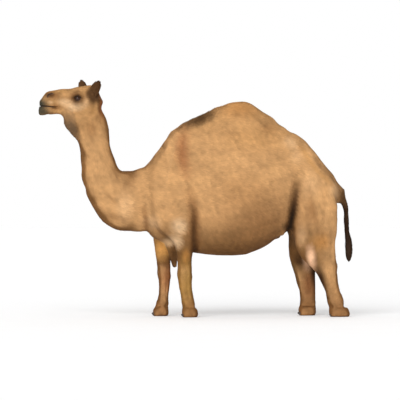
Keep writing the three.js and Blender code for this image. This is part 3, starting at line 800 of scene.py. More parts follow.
# Soft patches on the body and legs: side, place, radii, colour and strength.
PATCHES = [
    # Partly painted shade: the lower flank and belly darker brown.
    ("both", (0.55, 0.3, 0.88), (0.6, 0.6, 0.45), BROWN, 0.55),
    # Painted highlight on the lower shoulder.
    ("both", (-0.19, 0.3, 0.82), (0.11, 0.3, 0.11), LIGHT, 0.75),
    # Dark between the forelegs: partly the chest pad's own colour, partly painted shade between the legs.
    ("both", (-0.22, 0.0, 0.5), (0.12, 0.1, 0.2), UMBER, 1.0),
    # Painted highlight on the chest above the forelegs.
    ("both", (-0.25, 0.0, 0.68), (0.12, 0.2, 0.06), LIGHT, 0.8),
    # Painted shade where the near foreleg meets the belly.
    ("left", (-0.034, 0.2, 0.64), (0.06, 0.25, 0.11), CREASE_SHADE, 0.95),
    # Painted shade at the lower end of the flank's fold.
    ("both", (0.79, 0.25, 0.82), (0.075, 0.2, 0.065), CREASE_SHADE, 0.9),
    # Painted highlight on the lower neck.
    ("both", (-0.433, 0.2, 0.85), (0.13, 0.2, 0.11), PALE, 0.5),
    ("left", (-0.114, 0.2, 0.56), (0.055, 0.2, 0.09), GOLD, 0.75),
    # Painted shade behind the far foreleg, where it meets the belly.
    ("right", (-0.13, 0.2, 0.625), (0.05, 0.25, 0.1), SOOT, 0.9),
    ("both", (1.19, 0.1, 1.13), (0.1, 0.16, 0.13), LIGHT, 0.9),
    ("both", (1.1, 0.25, 0.69), (0.13, 0.16, 0.12), GOLD, 0.6),
    # Painted shade between the hind legs.
    ("both", (1.1, 0.0, 0.5), (0.25, 0.14, 0.35), UMBER, 0.8),
    # Down to the second dusk patch: the far hind leg darkened as painted shade, partly with a russet tint.
    ("right", (0.88, 0.17, 0.36), (0.07, 0.2, 0.22), OLIVE_SHADE, 0.5),
    ("right", (1.04, 0.17, 0.32), (0.1, 0.2, 0.3), UMBER, 0.55),
    ("right", (1.04, 0.17, 0.3), (0.1, 0.2, 0.25), RUSSET, 0.6),
    ("right", (1.11, 0.17, 0.44), (0.08, 0.2, 0.14), DUSK, 0.9),
    ("right", (0.97, 0.17, 0.5), (0.11, 0.2, 0.17), DUSK, 0.85),
    # Painted highlight on the far foreleg, where it lies in shade.
    ("right", (-0.3, 0.1, 0.64), (0.14, 0.2, 0.18), SAFFRON_HIGHLIGHT, 0.95),
    ("right", (-0.25, 0.16, 0.36), (0.1, 0.2, 0.22), RUSSET, 0.8),
    ("left", (-0.1, 0.16, 0.3), (0.14, 0.2, 0.42), SHIN, 0.85),
    # Painted highlight on the top of the near foreleg.
    ("left", (-0.23, 0.24, 0.68), (0.11, 0.2, 0.1), LIGHT, 0.9),
    ("both", (0.5, 0.2, 1.6), (0.5, 0.3, 0.2), OCHRE, 0.35),
    ("both", (0.36, 0.15, 1.9), (0.32, 0.3, 0.18), HONEY, 0.8),
    ("both", (0.62, 0.15, 1.7), (0.14, 0.2, 0.12), BROWN, 0.35),
    # Painted highlight on the chest.
    ("both", (-0.66, 0.1, 1.0), (0.12, 0.25, 0.2), PALE, 0.3),
    ("both", (-0.95, 0.1, 1.69), (0.08, 0.2, 0.12), BROWN, 0.5),
    ("both", (0.83, 0.2, 1.57), (0.12, 0.25, 0.1), PALE, 0.5),
    ("both", (1.0, 0.25, 1.2), (0.14, 0.25, 0.18), PALE, 0.2),
    ("both", (1.0, 0.25, 0.96), (0.1, 0.25, 0.16), BROWN, 0.35),
    ("both", (0.92, 0.25, 0.74), (0.08, 0.2, 0.16), PALE, 0.3),
    ("both", (0.33, 0.4, 1.15), (0.4, 0.3, 0.25), HONEY, 0.2),
    ("both", (0.87, 0.25, 1.45), (0.1, 0.25, 0.12), PALE, 0.3),
]
# Streaks seen from the side: side, path, width, colour and strength.
STREAKS = [
    ("left", [(-0.13, 1.68), (-0.15, 1.56), (-0.15, 1.42), (-0.13, 1.28)], 0.09, RUSSET, 0.7),
    # These three: painted shade in the crease behind the elbow, on the near side and on the far side.
    ("left", [(-0.1, 1.12), (-0.06, 0.95), (-0.048, 0.76), (-0.035, 0.55)], 0.09, BROWN, 0.85),
    ("left", [(-0.06, 0.95), (-0.052, 0.8), (-0.042, 0.65), (-0.035, 0.54)], 0.045, UMBER, 0.95),
    ("right", [(-0.16, 1.08), (-0.13, 0.94), (-0.12, 0.78), (-0.13, 0.6)], 0.08, BROWN, 0.7),
    # These three: painted shade in the flank's fold.
    ("both", FLANK_FOLD[1:], 0.075, BROWN, 0.7),
    ("both", FLANK_FOLD[1:], 0.06, DUSK, 0.9),
    ("both", FLANK_FOLD[3:], 0.05, CREASE_SHADE, 0.9),
    # Painted shade in the crease at the foot of the neck.
    ("both", [(-0.5, 0.98), (-0.47, 0.84), (-0.45, 0.72)], 0.045, BROWN, 0.6),
    ("both", [(0.86, 1.62), (0.93, 1.5), (1.05, 1.33), (1.2, 1.2)], 0.04, OCHRE, 0.6),
    ("both", [(0.98, 1.2), (1.02, 0.95), (1.1, 0.75)], 0.05, BROWN, 0.3),
    # A painted highlight on the front of the gaskin.
    ("both", [(1.0, 0.63), (1.01, 0.57), (1.02, 0.5), (1.03, 0.44)], 0.06, PINK_HIGHLIGHT, 1.0),
    # Painted shade along the front edge of the near hind leg, between the legs.
    ("both", [(1.06, 0.5), (1.085, 0.42), (1.11, 0.33), (1.14, 0.2)], 0.075, DUSK, 1.0),
]
# Patches on the head, each as ahead, to the side, up.
FACE_PATCHES = [
    # Painted highlight on the cheek.
    ((0.03, 0.06, -0.06), (0.13, 0.1, 0.07), LIGHT, 0.9),
    ((0.12, 0.05, -0.03), (0.1, 0.1, 0.05), PALE, 0.8),
    ((-0.06, 0.06, -0.03), (0.05, 0.1, 0.07), PALE, 0.6),
    ((0.235, 0.04, 0.03), (0.115, 0.07, 0.06), BROWN, 0.9),
    ((0.25, 0.04, 0.028), (0.06, 0.06, 0.034), UMBER, 0.95),
    ((0.17, 0.03, 0.06), (0.12, 0.06, 0.03), OCHRE, 0.5),
    ((0.25, 0.03, -0.035), (0.045, 0.05, 0.025), PALE, 0.7),
    ((0.2, 0.05, -0.075), (0.09, 0.06, 0.045), BROWN, 0.85),
    ((0.21, 0.05, -0.078), (0.05, 0.06, 0.022), UMBER, 0.85),
    ((0.24, 0.0, -0.13), (0.09, 0.08, 0.04), BROWN, 0.7),
    ((0.34, 0.0, -0.07), (0.125, 0.25, 0.15), GREY_GREEN, 1.0),
    ((0.31, 0.0, -0.12), (0.11, 0.11, 0.06), GREY_GREEN, 0.95),
    ((0.3, 0.0, -0.07), (0.09, 0.07, 0.018), SOOT, 0.9),
    ((0.325, 0.0, -0.05), (0.06, 0.12, 0.05), GREY_GREEN, 0.9),
    ((-0.085, 0.08, 0.045), (0.045, 0.08, 0.055), EAR_BROWN, 0.7),
    ((0.014, 0.075, 0.002), (0.115, 0.065, 0.1), BROWN, 0.95),
    ((0.012, 0.075, 0.0), (0.09, 0.065, 0.085), DUSK, 0.95),
    ((-0.13, 0.06, -0.1), (0.05, 0.1, 0.1), OCHRE, 0.5),
    ((-0.22, 0.02, -0.05), (0.06, 0.1, 0.2), RUSSET, 0.75),
    ((-0.1, 0.0, 0.07), (0.09, 0.07, 0.035), RUSSET, 0.5),
]
# The callused pad on the chest that it kneels on: its place and radii.
PAD = (-0.215, 0.0, 0.42), (0.06, 0.06, 0.045)
MOTTLE = Waves(11, 0.22), Waves(12, 0.07), Waves(13, 0.022)


def paint(colours, weight, colour):
    colours += (colour - colours) * np.clip(weight, 0, 1)[:, None]


def near_face(points):
    ahead, _, up = in_head(points).T
    return step(-0.2, -0.1, ahead) * step(-0.22, -0.12, up)


def markings(points, normals):
    """The colour of the coat at each point, with painted shade and painted highlights. It is darkest where
    the body turns away from its sides, as painted shade.
    """
    x, y, z = points.T
    colours = np.repeat(SAND[None], len(points), axis=0)
    paint(colours, 0.3 * step(1.5, 1.9, z), OCHRE)
    middle = step(0.95, 0.6, np.abs(x - 0.33))
    # Partly painted shade: the lower belly darker brown.
    paint(colours, 0.9 * step(1.0, 0.56, z) * step(0.42, 0.5, z) * middle, BELLY_BROWN_AND_SHADE)
    paint(colours, 0.3 * step(0.5, 0.2, z), BROWN)
    # Painted shade: darker where the surface faces ahead, back, up or down rather than to the side.
    aside = np.abs(normals[:, 1])
    slim = np.maximum(step(-0.5, -0.62, x) * (1 - near_face(points)), step(0.62, 0.5, z))
    on_back = step(0.3, 0.7, normals[:, 2]) * step(1.3, 1.5, z)
    paint(colours, step(0.75, 0.3, aside) * (0.55 - 0.3 * on_back) * (1 - slim), RIM_SHADE)
    paint(colours, step(1.0, 0.72, aside) * 0.95 * slim, RIM_SHADE)
    for side, place, radii, colour, strength in PATCHES:
        across = np.abs(y) if side == "both" else y * SIDES[side]
        paint(colours, strength * spot(np.stack([x, across, z], axis=1), place, radii), colour)
    for side, path, width, colour, strength in STREAKS:
        near = (z > 0.15) & ((side == "both") | (y * SIDES.get(side, 1) > 0))
        weight = np.zeros(len(points))
        weight[near] = strength * stroke_share(points[near][:, [0, 2]], path, width, 0.05)
        paint(colours, weight, colour)
    head = mirrored(in_head(points))
    for place, radii, colour, strength in FACE_PATCHES:
        paint(colours, strength * spot(head, place, radii), colour)
    paint(colours, 0.85 * throat_hair(points), BEARD)
    paint(colours, 0.88 * crest_hair(points), UMBER)
    paint(colours, 0.95 * ear_share(points), EAR_BROWN)
    for centre in FOOT.values():
        paint(colours, 0.9 * spot(points[:, :2], centre[:2], (0.17, 0.13)) * step(0.24, 0.02, z), BROWN)
    tail = step(1.27, 1.31, x) * step(1.22, 1.12, z) * step(0.4, 0.5, z)
    paint(colours, 0.85 * tail, UMBER)
    paint(colours, tail * step(1.12, 0.95, z) * 0.9, SOOT)
    broad, middling, fine = (waves(points) for waves in MOTTLE)
    colours *= (1 + 0.05 * broad + 0.05 * middling + 0.035 * fine)[:, None]
    return np.clip(colours, 0.002, 1)


def bare_skin(points):
    """Where there is bare skin or callus: lips, nostrils, lid edges, pad and soles."""
    ahead, _, up = in_head(points).T
    flat = np.stack([ahead, up], axis=1)
    bare = step(0.009, 0.004, np.abs(up - lip_level(ahead))) * step(0.19, 0.22, ahead)
    nostril = off_line(flat, NOSTRIL)[0]
    bare = np.maximum(bare, step(0.009, 0.005, nostril) * (ahead > 0.2))
    for side in SIDES:
        distance = np.linalg.norm(points - EYE[side], axis=1)
        rim = step(EYE_RADIUS + 0.0085, EYE_RADIUS + 0.004, distance)
        bare = np.maximum(bare, rim * (distance < 0.04))
    place, radii = PAD
    gap = np.linalg.norm((points - place) / np.array(radii), axis=1)
    bare = np.maximum(bare, step(1, 0.75, gap))
    return np.maximum(bare, step(0.012, 0.004, points[:, 2]))


# ---------- the coat ----------


# The middle of the neck seen from the side, down which its hair runs.
NECK_WAY = [
    (-1.0, 1.86), (-0.96, 1.7), (-0.915, 1.55), (-0.885, 1.4),
    (-0.845, 1.25), (-0.76, 1.12), (-0.62, 1.03), (-0.4, 1.02),
]
SWIRL = Waves(21, 0.5), Waves(22, 0.1)


def along(ways, share, way):
    """Turns the ways towards one way by a share from 0 to 1."""
    ways += np.asarray(share, float).reshape(-1, 1) * (np.asarray(way) - ways)


def lie(points, normals):
    """The way the hair lies at each point, along the skin."""
    x, _, z = points.T
    ahead, _, up = in_head(points).T
    ways = np.tile((1.0, 0.0, -0.32), (len(points), 1))
    along(ways, 0.7 * step(1.15, 0.7, z), (0.55, 0, -1))
    along(ways, step(0.8, 1.0, x) * step(1.45, 1.1, z), (0.35, 0, -0.95))
    belly = bell((x - 0.4) / 0.75) * step(0.45, 0.6, z)
    along(ways, step(0.72, 0.5, z) * (1 - belly), (0.12, 0, -1))
    line = smooth_line(NECK_WAY)
    spans = np.diff(line, axis=0)
    spans /= np.linalg.norm(spans, axis=1)[:, None]
    neck = np.nonzero((x < -0.38) & (z > 0.65))[0]
    gaps = np.linalg.norm(points[neck][:, None, [0, 2]] - (line[None, 1:] + line[None, :-1]) / 2, axis=2)
    down = spans[gaps.argmin(axis=1)]
    share = step(-0.38, -0.55, x[neck])[:, None]
    ways[neck] += share * (np.stack([down[:, 0], np.zeros(len(neck)), down[:, 1]], axis=1) - ways[neck])
    along(ways, 0.7 * throat_hair(points), (0.25, 0, -1))
    back = np.tile(-HEAD_AHEAD + (0, 0, 0.1), (len(points), 1))
    back[:, 2] -= 0.55 * step(-0.01, -0.1, up)
    along(ways, step(-0.24, -0.16, ahead) * step(-0.26, -0.16, up), back)
    for ear in EARS:
        root, tip = ear_line(ear)
        ways[near_ear(points, ear, 0.012, 0.035)] = (tip - root) / np.linalg.norm(tip - root)
    ways[on_tail(points)] = (0.05, 0, -1)
    return turned(laid(ways, normals), normals, SWIRL[0](points) * 0.12 + SWIRL[1](points) * 0.06)


def laid(ways, normals):
    """The ways laid flat along the surface, each of length 1."""
    ways = ways - normals * (ways * normals).sum(axis=1)[:, None]
    return ways / np.maximum(np.linalg.norm(ways, axis=1), 1e-6)[:, None]


def turned(ways, normals, angles):
    """Ways along the surface, turned in its plane."""
    return ways * np.cos(angles)[:, None] + np.cross(normals, ways) * np.sin(angles)[:, None]


# Length, width and standing height of the short tufts at some heights above the floor, in metres.
HAIR_LEVELS = [0.0, 0.1, 0.45, 0.8, 1.1]
HAIR_SIZES = [
    [0.011, 0.015, 0.021, 0.031, 0.035],
    [0.0033, 0.0042, 0.0052, 0.0066, 0.007],
    [0.0012, 0.0014, 0.0018, 0.0022, 0.0024],
]
CHEEK_HAIR = (0.016, 0.0036, 0.0019)
TAIL_HAIR = (0.03, 0.0045, 0.003)
EAR_HAIR = (0.013, 0.0026, 0.0014)


def hair_size(points):
    """Length, width and standing height of a tuft at each point."""
    x, y, z = points.T
    ahead, left, up = in_head(points).T
    sizes = np.array([ramp(z, HAIR_LEVELS, row) for row in HAIR_SIZES])
    head = step(-0.3, -0.13, ahead) * step(-0.33, -0.18, up)
    muzzle = step(-0.05, 0.2, ahead) * step(-0.25, -0.18, up)
    for row, on_cheek, less_on_muzzle in zip(sizes, CHEEK_HAIR, (0.007, 0.0012, 0.001)):
        row += (on_cheek - less_on_muzzle * muzzle - row) * head
    shoulder = bell((x + 0.2) / 0.16) * bell((z - 0.72) / 0.22) * step(0.12, 0.2, np.abs(y))
    poll = bell((ahead + 0.13) / 0.08) * step(0.03, 0.08, up) * step(0.06, 0.03, np.abs(left))
    sizes += np.outer((0.014, 0, 0.003), shoulder) + np.outer((0.014, 0, 0.007), poll)
    sizes[:, on_tail(points)] = np.array([TAIL_HAIR]).T
    sizes[:, on_ears(points, 0.006)] = np.array([EAR_HAIR]).T
    return sizes


class Ground:
    """The skin's triangles, from which the roots of tufts are drawn."""

    def __init__(self, skin):
        mesh = skin.data
        mesh.calc_loop_triangles()
        self.corners = self.read(mesh.loop_triangles, "vertices")
        loops = self.read(mesh.loop_triangles, "loops")
        self.points = places(skin)
        self.normals = places(skin, "normal")
        uv = np.empty(len(mesh.loops) * 2)
        mesh.uv_layers["OFBake"].data.foreach_get("uv", uv)
        self.uv = uv.reshape(-1, 2)[loops]
        a, b, c = (self.points[self.corners[:, k]] for k in range(3))
        facing = np.cross(b - a, c - a)
        self.area = np.linalg.norm(facing, axis=1) / 2
        self.middle = (a + b + c) / 3
        folded = (facing * self.normals[self.corners].mean(axis=1)).sum(axis=1) < self.area
        self.bare = np.where(folded, 1.0, bare_skin(self.middle))
        self.tree = BVHTree.FromObject(skin, bpy.context.evaluated_depsgraph_get())

    @staticmethod
    def read(items, name):
        found = np.empty(len(items) * 3, int)
        items.foreach_get(name, found)
        return found.reshape(-1, 3)

    def roots(self, chance, count, rng):
        """Evenly spread roots: their points, normals and places on the unwrapped skin."""
        total = np.cumsum(self.area * chance)
        spots = (np.arange(count) + rng.random(count)) / count * total[-1]
        chosen = np.minimum(np.searchsorted(total, spots), len(total) - 1)
        r = np.sqrt(rng.random(count))
        t = rng.random(count)
        shares = np.stack([1 - r, r * (1 - t), r * t], axis=1)[:, :, None]
        points = (self.points[self.corners[chosen]] * shares).sum(axis=1)
        normals = (self.normals[self.corners[chosen]] * shares).sum(axis=1)
        normals /= np.linalg.norm(normals, axis=1)[:, None]
        return points, normals, (self.uv[chosen] * shares).sum(axis=1)

    def nearest(self, points):
        return np.array([self.tree.find_nearest(p)[0] for p in points.tolist()])


# How a tuft is built: its faces, then for each corner its place on the tuft's patch of the map, its shade and
# how far its shading leans to the side, then the tuft's thickness, how closely it hugs the skin and its curl.
Lock = namedtuple("Lock", "faces on_map shades lean thick hug curl")
# Two root corners, the top of the back and a tip.
SHORT_LOCK = Lock(
    faces=[(0, 3, 2), (1, 2, 3), (0, 2, 1), (0, 1, 3)],
    on_map=[(-1, -1), (1, -1), (0, -0.3), (0, 1)],
    shades=[0.88, 0.88, 0.98, 1.07],
    lean=[-0.45, 0.45, 0, 0],
    thick=0.08, hug=1.8, curl=0.08,
)
# Two root corners, a middle of three corners and a tip.
LONG_LOCK = Lock(
    faces=[(0, 2, 4), (0, 4, 1), (1, 4, 3), (2, 5, 4), (3, 4, 5), (0, 1, 2), (1, 3, 2), (2, 3, 5)],
    on_map=[(-1, -1), (1, -1), (-1, 0), (1, 0), (0, 0), (0, 1)],
    shades=[0.75, 0.75, 0.92, 0.92, 1.04, 1.14],
    lean=[-0.6, 0.6, -0.6, 0.6, 0, 0],
    thick=0.22, hug=1.3, curl=0.035,
)
PATCH_SIZE = 0.003
DEEPEST_ROOT = 0.001
RISE_SHARE = 0.6  # how much of a tuft's shading comes from its own rise, the rest from the skin


def grow_tufts(name, ground, chance, count, seed, size, way=lie, lock=SHORT_LOCK, spread=0.1):
    """One piece of coat: closed tufts rooted in the skin that lie along it."""
    rng = np.random.default_rng(seed)
    roots, normals, uv = ground.roots(chance, count, rng)
    length, width, lift = size(roots)
    length = length * rng.uniform(0.7, 1.3, count)
    width = width * rng.uniform(0.75, 1.25, count)
    lift = lift * rng.uniform(0.4, 1.5, count)
    ways = turned(way(roots, normals), normals, rng.normal(0, spread, count))
    across = np.cross(normals, ways)
    reach = roots + ways * length[:, None]
    spots = ground.nearest(reach)
    fall = ((spots - roots) * normals).sum(axis=1)
    hug = np.clip(lock.hug - np.abs(fall) / length, 0, 1)[:, None]
    short = np.linalg.norm(spots - roots, axis=1) < 0.7 * length
    reach -= ways * (0.6 * length * short * ~on_ears(roots))[:, None]
    spots = reach + (spots - reach) * hug * ~short[:, None]
    fall = ((spots - roots) * normals).sum(axis=1)[:, None]
    curl = across * (rng.normal(0, lock.curl, count) * length)[:, None]
    tip = spots + normals * lift[:, None] + curl * (0.4 if lock is LONG_LOCK else -1)
    half = across * (width / 2)[:, None]
    sunk = roots - normals * np.minimum(width * 0.25, DEEPEST_ROOT)[:, None]
    thick = normals * (width * lock.thick)[:, None]
    if lock is LONG_LOCK:
        middle = (roots + spots) / 2 - normals * fall / 4 + curl + normals * (lift * 0.65)[:, None]
        foot = [sunk - half * 0.7, sunk + half * 0.7]
        points = [*foot, middle - half, middle + half, middle + thick * 1.4, tip]
    else:
        back = roots + (spots - roots) * 0.3 + normals * (lift * 0.15)[:, None] + thick
        back -= normals * np.minimum(fall, 0) * 0.2
        points = [sunk - half, sunk + half, back, tip]
    points = np.stack(points, axis=1)
    points[:, :, 2] = np.maximum(points[:, :, 2], FLOOR_GAP)
    colours = markings(roots, normals) * rng.normal(1, 0.04, count).clip(0.85, 1.15)[:, None]
    colours = colours[:, None] * np.array(lock.shades)[None, :, None]
    on_map = uv[:, None] + np.array(lock.on_map)[None] * PATCH_SIZE / 2
    rise = np.cross(tip - roots, across)
    rise /= np.linalg.norm(rise, axis=1)[:, None]
    rise *= np.where((rise * normals).sum(axis=1) < 0, -1, 1)[:, None]
    shading = ((1 - RISE_SHARE) * normals + RISE_SHARE * rise)[:, None]
    shading = shading + across[:, None] * np.array(lock.lean)[None, :, None]
    return joined_tufts(name, points, lock, colours, on_map, shading)


def joined_tufts(name, points, lock, colours, on_map, shading=None):
    """A mesh of like tufts, each of the same faces over its own points, shaded as rounded locks."""
    count, corners = points.shape[:2]
    faces = (np.array(lock.faces)[None] + corners * np.arange(count)[:, None, None]).ravel()
    mesh = bpy.data.meshes.new(name)
    mesh.vertices.add(count * corners)
    mesh.vertices.foreach_set("co", points.ravel())
    mesh.loops.add(len(faces))
    mesh.loops.foreach_set("vertex_index", faces)
    mesh.polygons.add(len(faces) // 3)
    mesh.polygons.foreach_set("loop_start", np.arange(0, len(faces), 3))
    mesh.update(calc_edges=True)
    give_colours(mesh, colours.reshape(-1, 3))
    layer = mesh.uv_layers.new(name="OFBake")
    layer.data.foreach_set("uv", on_map.reshape(-1, 2)[faces].ravel())
    obj = bpy.data.objects.new(name, mesh)
    bpy.context.scene.collection.objects.link(obj)
    shade_smooth(obj)
    if shading is not None:
        shading = shading / np.linalg.norm(shading, axis=2)[:, :, None]
        mesh.normals_split_custom_set_from_vertices(shading.reshape(-1, 3).tolist())
    return obj


def give_colours(mesh, colours):
    layer = mesh.color_attributes.new(name="markings", type="FLOAT_COLOR", domain="POINT")
    full = np.ones((len(colours), 4))
    full[:, :3] = np.clip(colours, 0, 1)
    layer.data.foreach_set("color", full.ravel())


def give_amounts(mesh, name, amounts):
    layer = mesh.attributes.new(name=name, type="FLOAT", domain="POINT")
    layer.data.foreach_set("value", np.asarray(amounts, np.float32))


# Where the pieces of short coat meet, along the body and above the floor.
LOIN_FRONT = 0.42
NECK_BACK = -0.38
LEG_TOP = 0.62


def in_region(points):
    """The name of the piece of short coat at each point, each small enough to handle."""
    x, y, z = points.T
    ahead, left, up = in_head(points).T
    side = np.where(y < 0, "left", "right")
    place = np.full(len(points), "trunk_", dtype="<U24")
    place[x > LOIN_FRONT] = "loin_"
    place[(x < NECK_BACK) & (z > 0.6)] = "neck_"
    place[(z < LEG_TOP) & (x < 0.02)] = "foreleg_"
    place[(z < LEG_TOP) & (x > 0.86)] = "hindleg_"
    on_head = (x < -0.7) & (ahead > -0.22) & (up > -0.2)
    place[on_head] = "head_"
    side[on_head] = np.where(left[on_head] > 0, "left", "right")
    return np.char.add("coat_", np.char.add(place, side))


def short_size(points):
    """The size of the short tufts, as long as the user wants them."""
    length, width, lift = hair_size(points)
    return length * settings("coat").length, width, lift


def density(points, bare):
    """Tufts for each square metre, so that they overlap."""
    length, width, _ = hair_size(points)
    return (1 - bare) * ~on_eyes(points) / (0.5 * length * width)


def on_eyes(points):
    found = np.zeros(len(points), bool)
    for side in SIDES:
        distance, _, across, height = eye_angles(points, side)
        rho = np.hypot(across / APERTURE["half_width"], height / APERTURE["upper"])
        found |= (distance < EYE_RADIUS + 0.012) & (rho < 1.2)
    return found


# ---------- materials ----------


class Finish:
    """A material with one Principled shader, and short ways to add nodes before it."""

    def __init__(self, name, **constants):
        self.material = bpy.data.materials.new(name)
        self.material.use_nodes = True
        self.tree = self.material.node_tree
        self.shader = self.tree.nodes["Principled BSDF"]
        for socket, value in constants.items():
            self.shader.inputs[socket.replace("_", " ")].default_value = value

    def node(self, kind, inputs=(), **settings):
        node = self.tree.nodes.new(kind)
        for name, value in settings.items():
            setattr(node, name, value)
        for socket, value in dict(inputs).items():
            self.feed(node, socket, value)
        return node

    def feed(self, node, socket, value):
        if isinstance(value, bpy.types.NodeSocket):
            self.tree.links.new(value, node.inputs[socket])
        else:
            node.inputs[socket].default_value = value

    def drive(self, socket, value):
        self.feed(self.shader, socket, value)

    def object_place(self, scale=(1, 1, 1), location=(0, 0, 0)):
        place = self.node("ShaderNodeTexCoord").outputs["Object"]
        inputs = {"Vector": place, "Scale": scale, "Location": location}
        return self.node("ShaderNodeMapping", inputs).outputs["Vector"]

    def noise(self, scale, stretch=(1, 1, 1), detail=2.0):
        inputs = {"Vector": self.object_place(scale=stretch), "Scale": scale, "Detail": detail}
        return self.node("ShaderNodeTexNoise", inputs).outputs["Fac"]

    def spread(self, value, low, high, to_low, to_high):
        inputs = {"Value": value, "From Min": low, "From Max": high, "To Min": to_low, "To Max": to_high}
        return self.node("ShaderNodeMapRange", inputs).outputs["Result"]

    def vary(self, noise, low, high):
        """Spreads the usual run of a noise between two numbers."""
        return self.spread(noise, 0.3, 0.7, low, high)

    def attribute(self, name):
        return self.node("ShaderNodeAttribute", attribute_name=name)

    def mix(self, share, first, second):
        """Numbers between two, by a share."""
        return self.node("ShaderNodeMix", {0: share, 2: first, 3: second}, data_type="FLOAT").outputs[0]

    def vector(self, operation, inputs):
        return self.node("ShaderNodeVectorMath", inputs, operation=operation).outputs

    def times(self, colour, amount):
        return self.vector("SCALE", {0: colour, "Scale": amount})["Vector"]

    def far(self, wide, tall):
        """How far a flat point is from the middle."""
        flat = self.node("ShaderNodeCombineXYZ", {"X": wide, "Y": tall}).outputs[0]
        return self.vector("LENGTH", {0: flat})["Value"]

    def ramp(self, value, stops):
        node = self.node("ShaderNodeValToRGB", {"Fac": value})
        ramp = node.color_ramp
        while len(ramp.elements) < len(stops):
            ramp.elements.new(0.5)
        for element, (place, colour) in zip(ramp.elements, stops):
            element.position = place
            element.color = (*colour, 1)
        return node.outputs["Color"]

    def bump(self, height, distance, strength=1.0):
        inputs = {"Height": height, "Distance": distance, "Strength": strength}
        self.drive("Normal", self.node("ShaderNodeBump", inputs).outputs["Normal"])

    def show_markings(self, shade):
        self.drive("Base Color", self.times(self.attribute("markings").outputs["Color"], shade))

    def give(self, obj):
        obj.data.materials.clear()
        obj.data.materials.append(self.material)


def hide_finish():
    """Short flat hair over hide: streaks that run down the legs and neck and back along the trunk."""
    finish = Finish("hide", Specular_IOR_Level=0.2)
    bare = finish.attribute("bare").outputs["Fac"]
    streaks_back = finish.noise(260, (0.16, 1, 1), 3.0)
    streaks_down = finish.noise(260, (1, 1, 0.16), 3.0)
    hair = finish.mix(finish.attribute("upright").outputs["Fac"], streaks_back, streaks_down)
    pores = finish.noise(700, detail=1.0)
    finish.show_markings(finish.vary(hair, 0.86, 1.12))
    finish.drive("Roughness", finish.mix(bare, finish.vary(hair, 0.66, 0.86), finish.vary(pores, 0.38, 0.52)))
    finish.bump(finish.mix(bare, hair, pores), 0.0012, 0.7)
    return finish


def hair_finish(name, roughness, gloss):
    """Fine hair in the colours of the markings."""
    finish = Finish(name, Specular_IOR_Level=gloss)
    fibres = finish.noise(900, detail=1.0)
    finish.show_markings(finish.vary(fibres, 0.93, 1.07))
    finish.drive("Roughness", finish.vary(fibres, roughness - 0.07, roughness + 0.07))
    return finish


def eye_finish(side, iris):
    """A wet dark eye: a long level pupil in a brown iris, with a darker edge."""
    name = f"eyeball_{side}"
    finish = Finish(name, Roughness=0.1, Coat_Weight=0.15, Coat_Roughness=0.03, Specular_IOR_Level=0.3)
    place = finish.object_place(location=-Vector(EYE[side]))
    wide, tall = (
        finish.vector("DOT_PRODUCT", {0: place, 1: Vector(axis)})["Value"] for axis in eye_axes(side)[1:]
    )
    narrowed = finish.node("ShaderNodeMath", {0: wide, 1: 0.62}, operation="MULTIPLY").outputs[0]
    pupil = finish.spread(finish.far(narrowed, tall), 0.0030, 0.0050, 0, 1)
    edge = finish.spread(finish.far(wide, tall), 0.0115, 0.0150, 0, 1)
    inside = finish.ramp(pupil, [(0.0, (0.002,) * 3), (1.0, np.array(iris))])
    inside = finish.times(inside, finish.vary(finish.noise(420, detail=4.0), 0.6, 1.5))
    outside = finish.ramp(edge, [(0.0, (1, 1, 1)), (0.4, (0.25,) * 3), (1.0, (0.6,) * 3)])
    finish.drive("Base Color", finish.vector("MULTIPLY", {0: inside, 1: outside})["Vector"])
    return finish


def nail_finish(colour):
    """Dull horn with growth rings, some of them paler."""
    finish = Finish("toenail_horn", Specular_IOR_Level=0.4)
    rings = finish.noise(90, (1, 0.3, 3), 3.0)
    grain = finish.noise(600, (0.4, 1, 1), 2.0)
    colour = np.array(colour)
    finish.drive("Base Color", finish.ramp(rings, [(0.3, colour * 0.6), (0.55, colour), (0.8, colour * 1.9)]))
    finish.drive("Roughness", finish.vary(grain, 0.38, 0.62))
    finish.bump(finish.mix(0.4, rings, grain), 0.0006)
    return finish


# ---------- the eyes, lashes and toenails ----------


def make_eyeball(side):
    """A ball with the clear front swelling forward, as an eye's does."""
    out = eye_axes(side)[0]
    ball = add_ball(EYE[side], [EYE_RADIUS] * 3, out, 64, 40)
    ball.name = ball.data.name = f"eyeball_{side}"
    front = (face_middles(ball) - EYE[side]) @ out > EYE_RADIUS * math.cos(math.radians(9))
    edit_mode(ball, front)
    bpy.ops.transform.translate(
        value=out * 0.0014, use_proportional_edit=True,
        proportional_edit_falloff="SPHERE", proportional_size=0.0125,
    )
    object_mode()
    shade_smooth(ball)
    return ball


def lid_edge(side, share, upper):
    """A point on the edge of a lid, a share of the way along it from the front corner, and its way out."""
    across = APERTURE["half_width"] * math.cos(math.pi * share)
    tall = APERTURE["upper"] if upper else -APERTURE["lower"]
    height = tall * math.sin(math.pi * share) - CORNER_DROP * float(step(5, 60, np.array(across)))
    out, ahead, up = eye_axes(side)
    way = out + ahead * math.tan(math.radians(across)) + up * math.tan(math.radians(height))
    way /= np.linalg.norm(way)
    return EYE[side] + way * (EYE_RADIUS + 0.0032), way


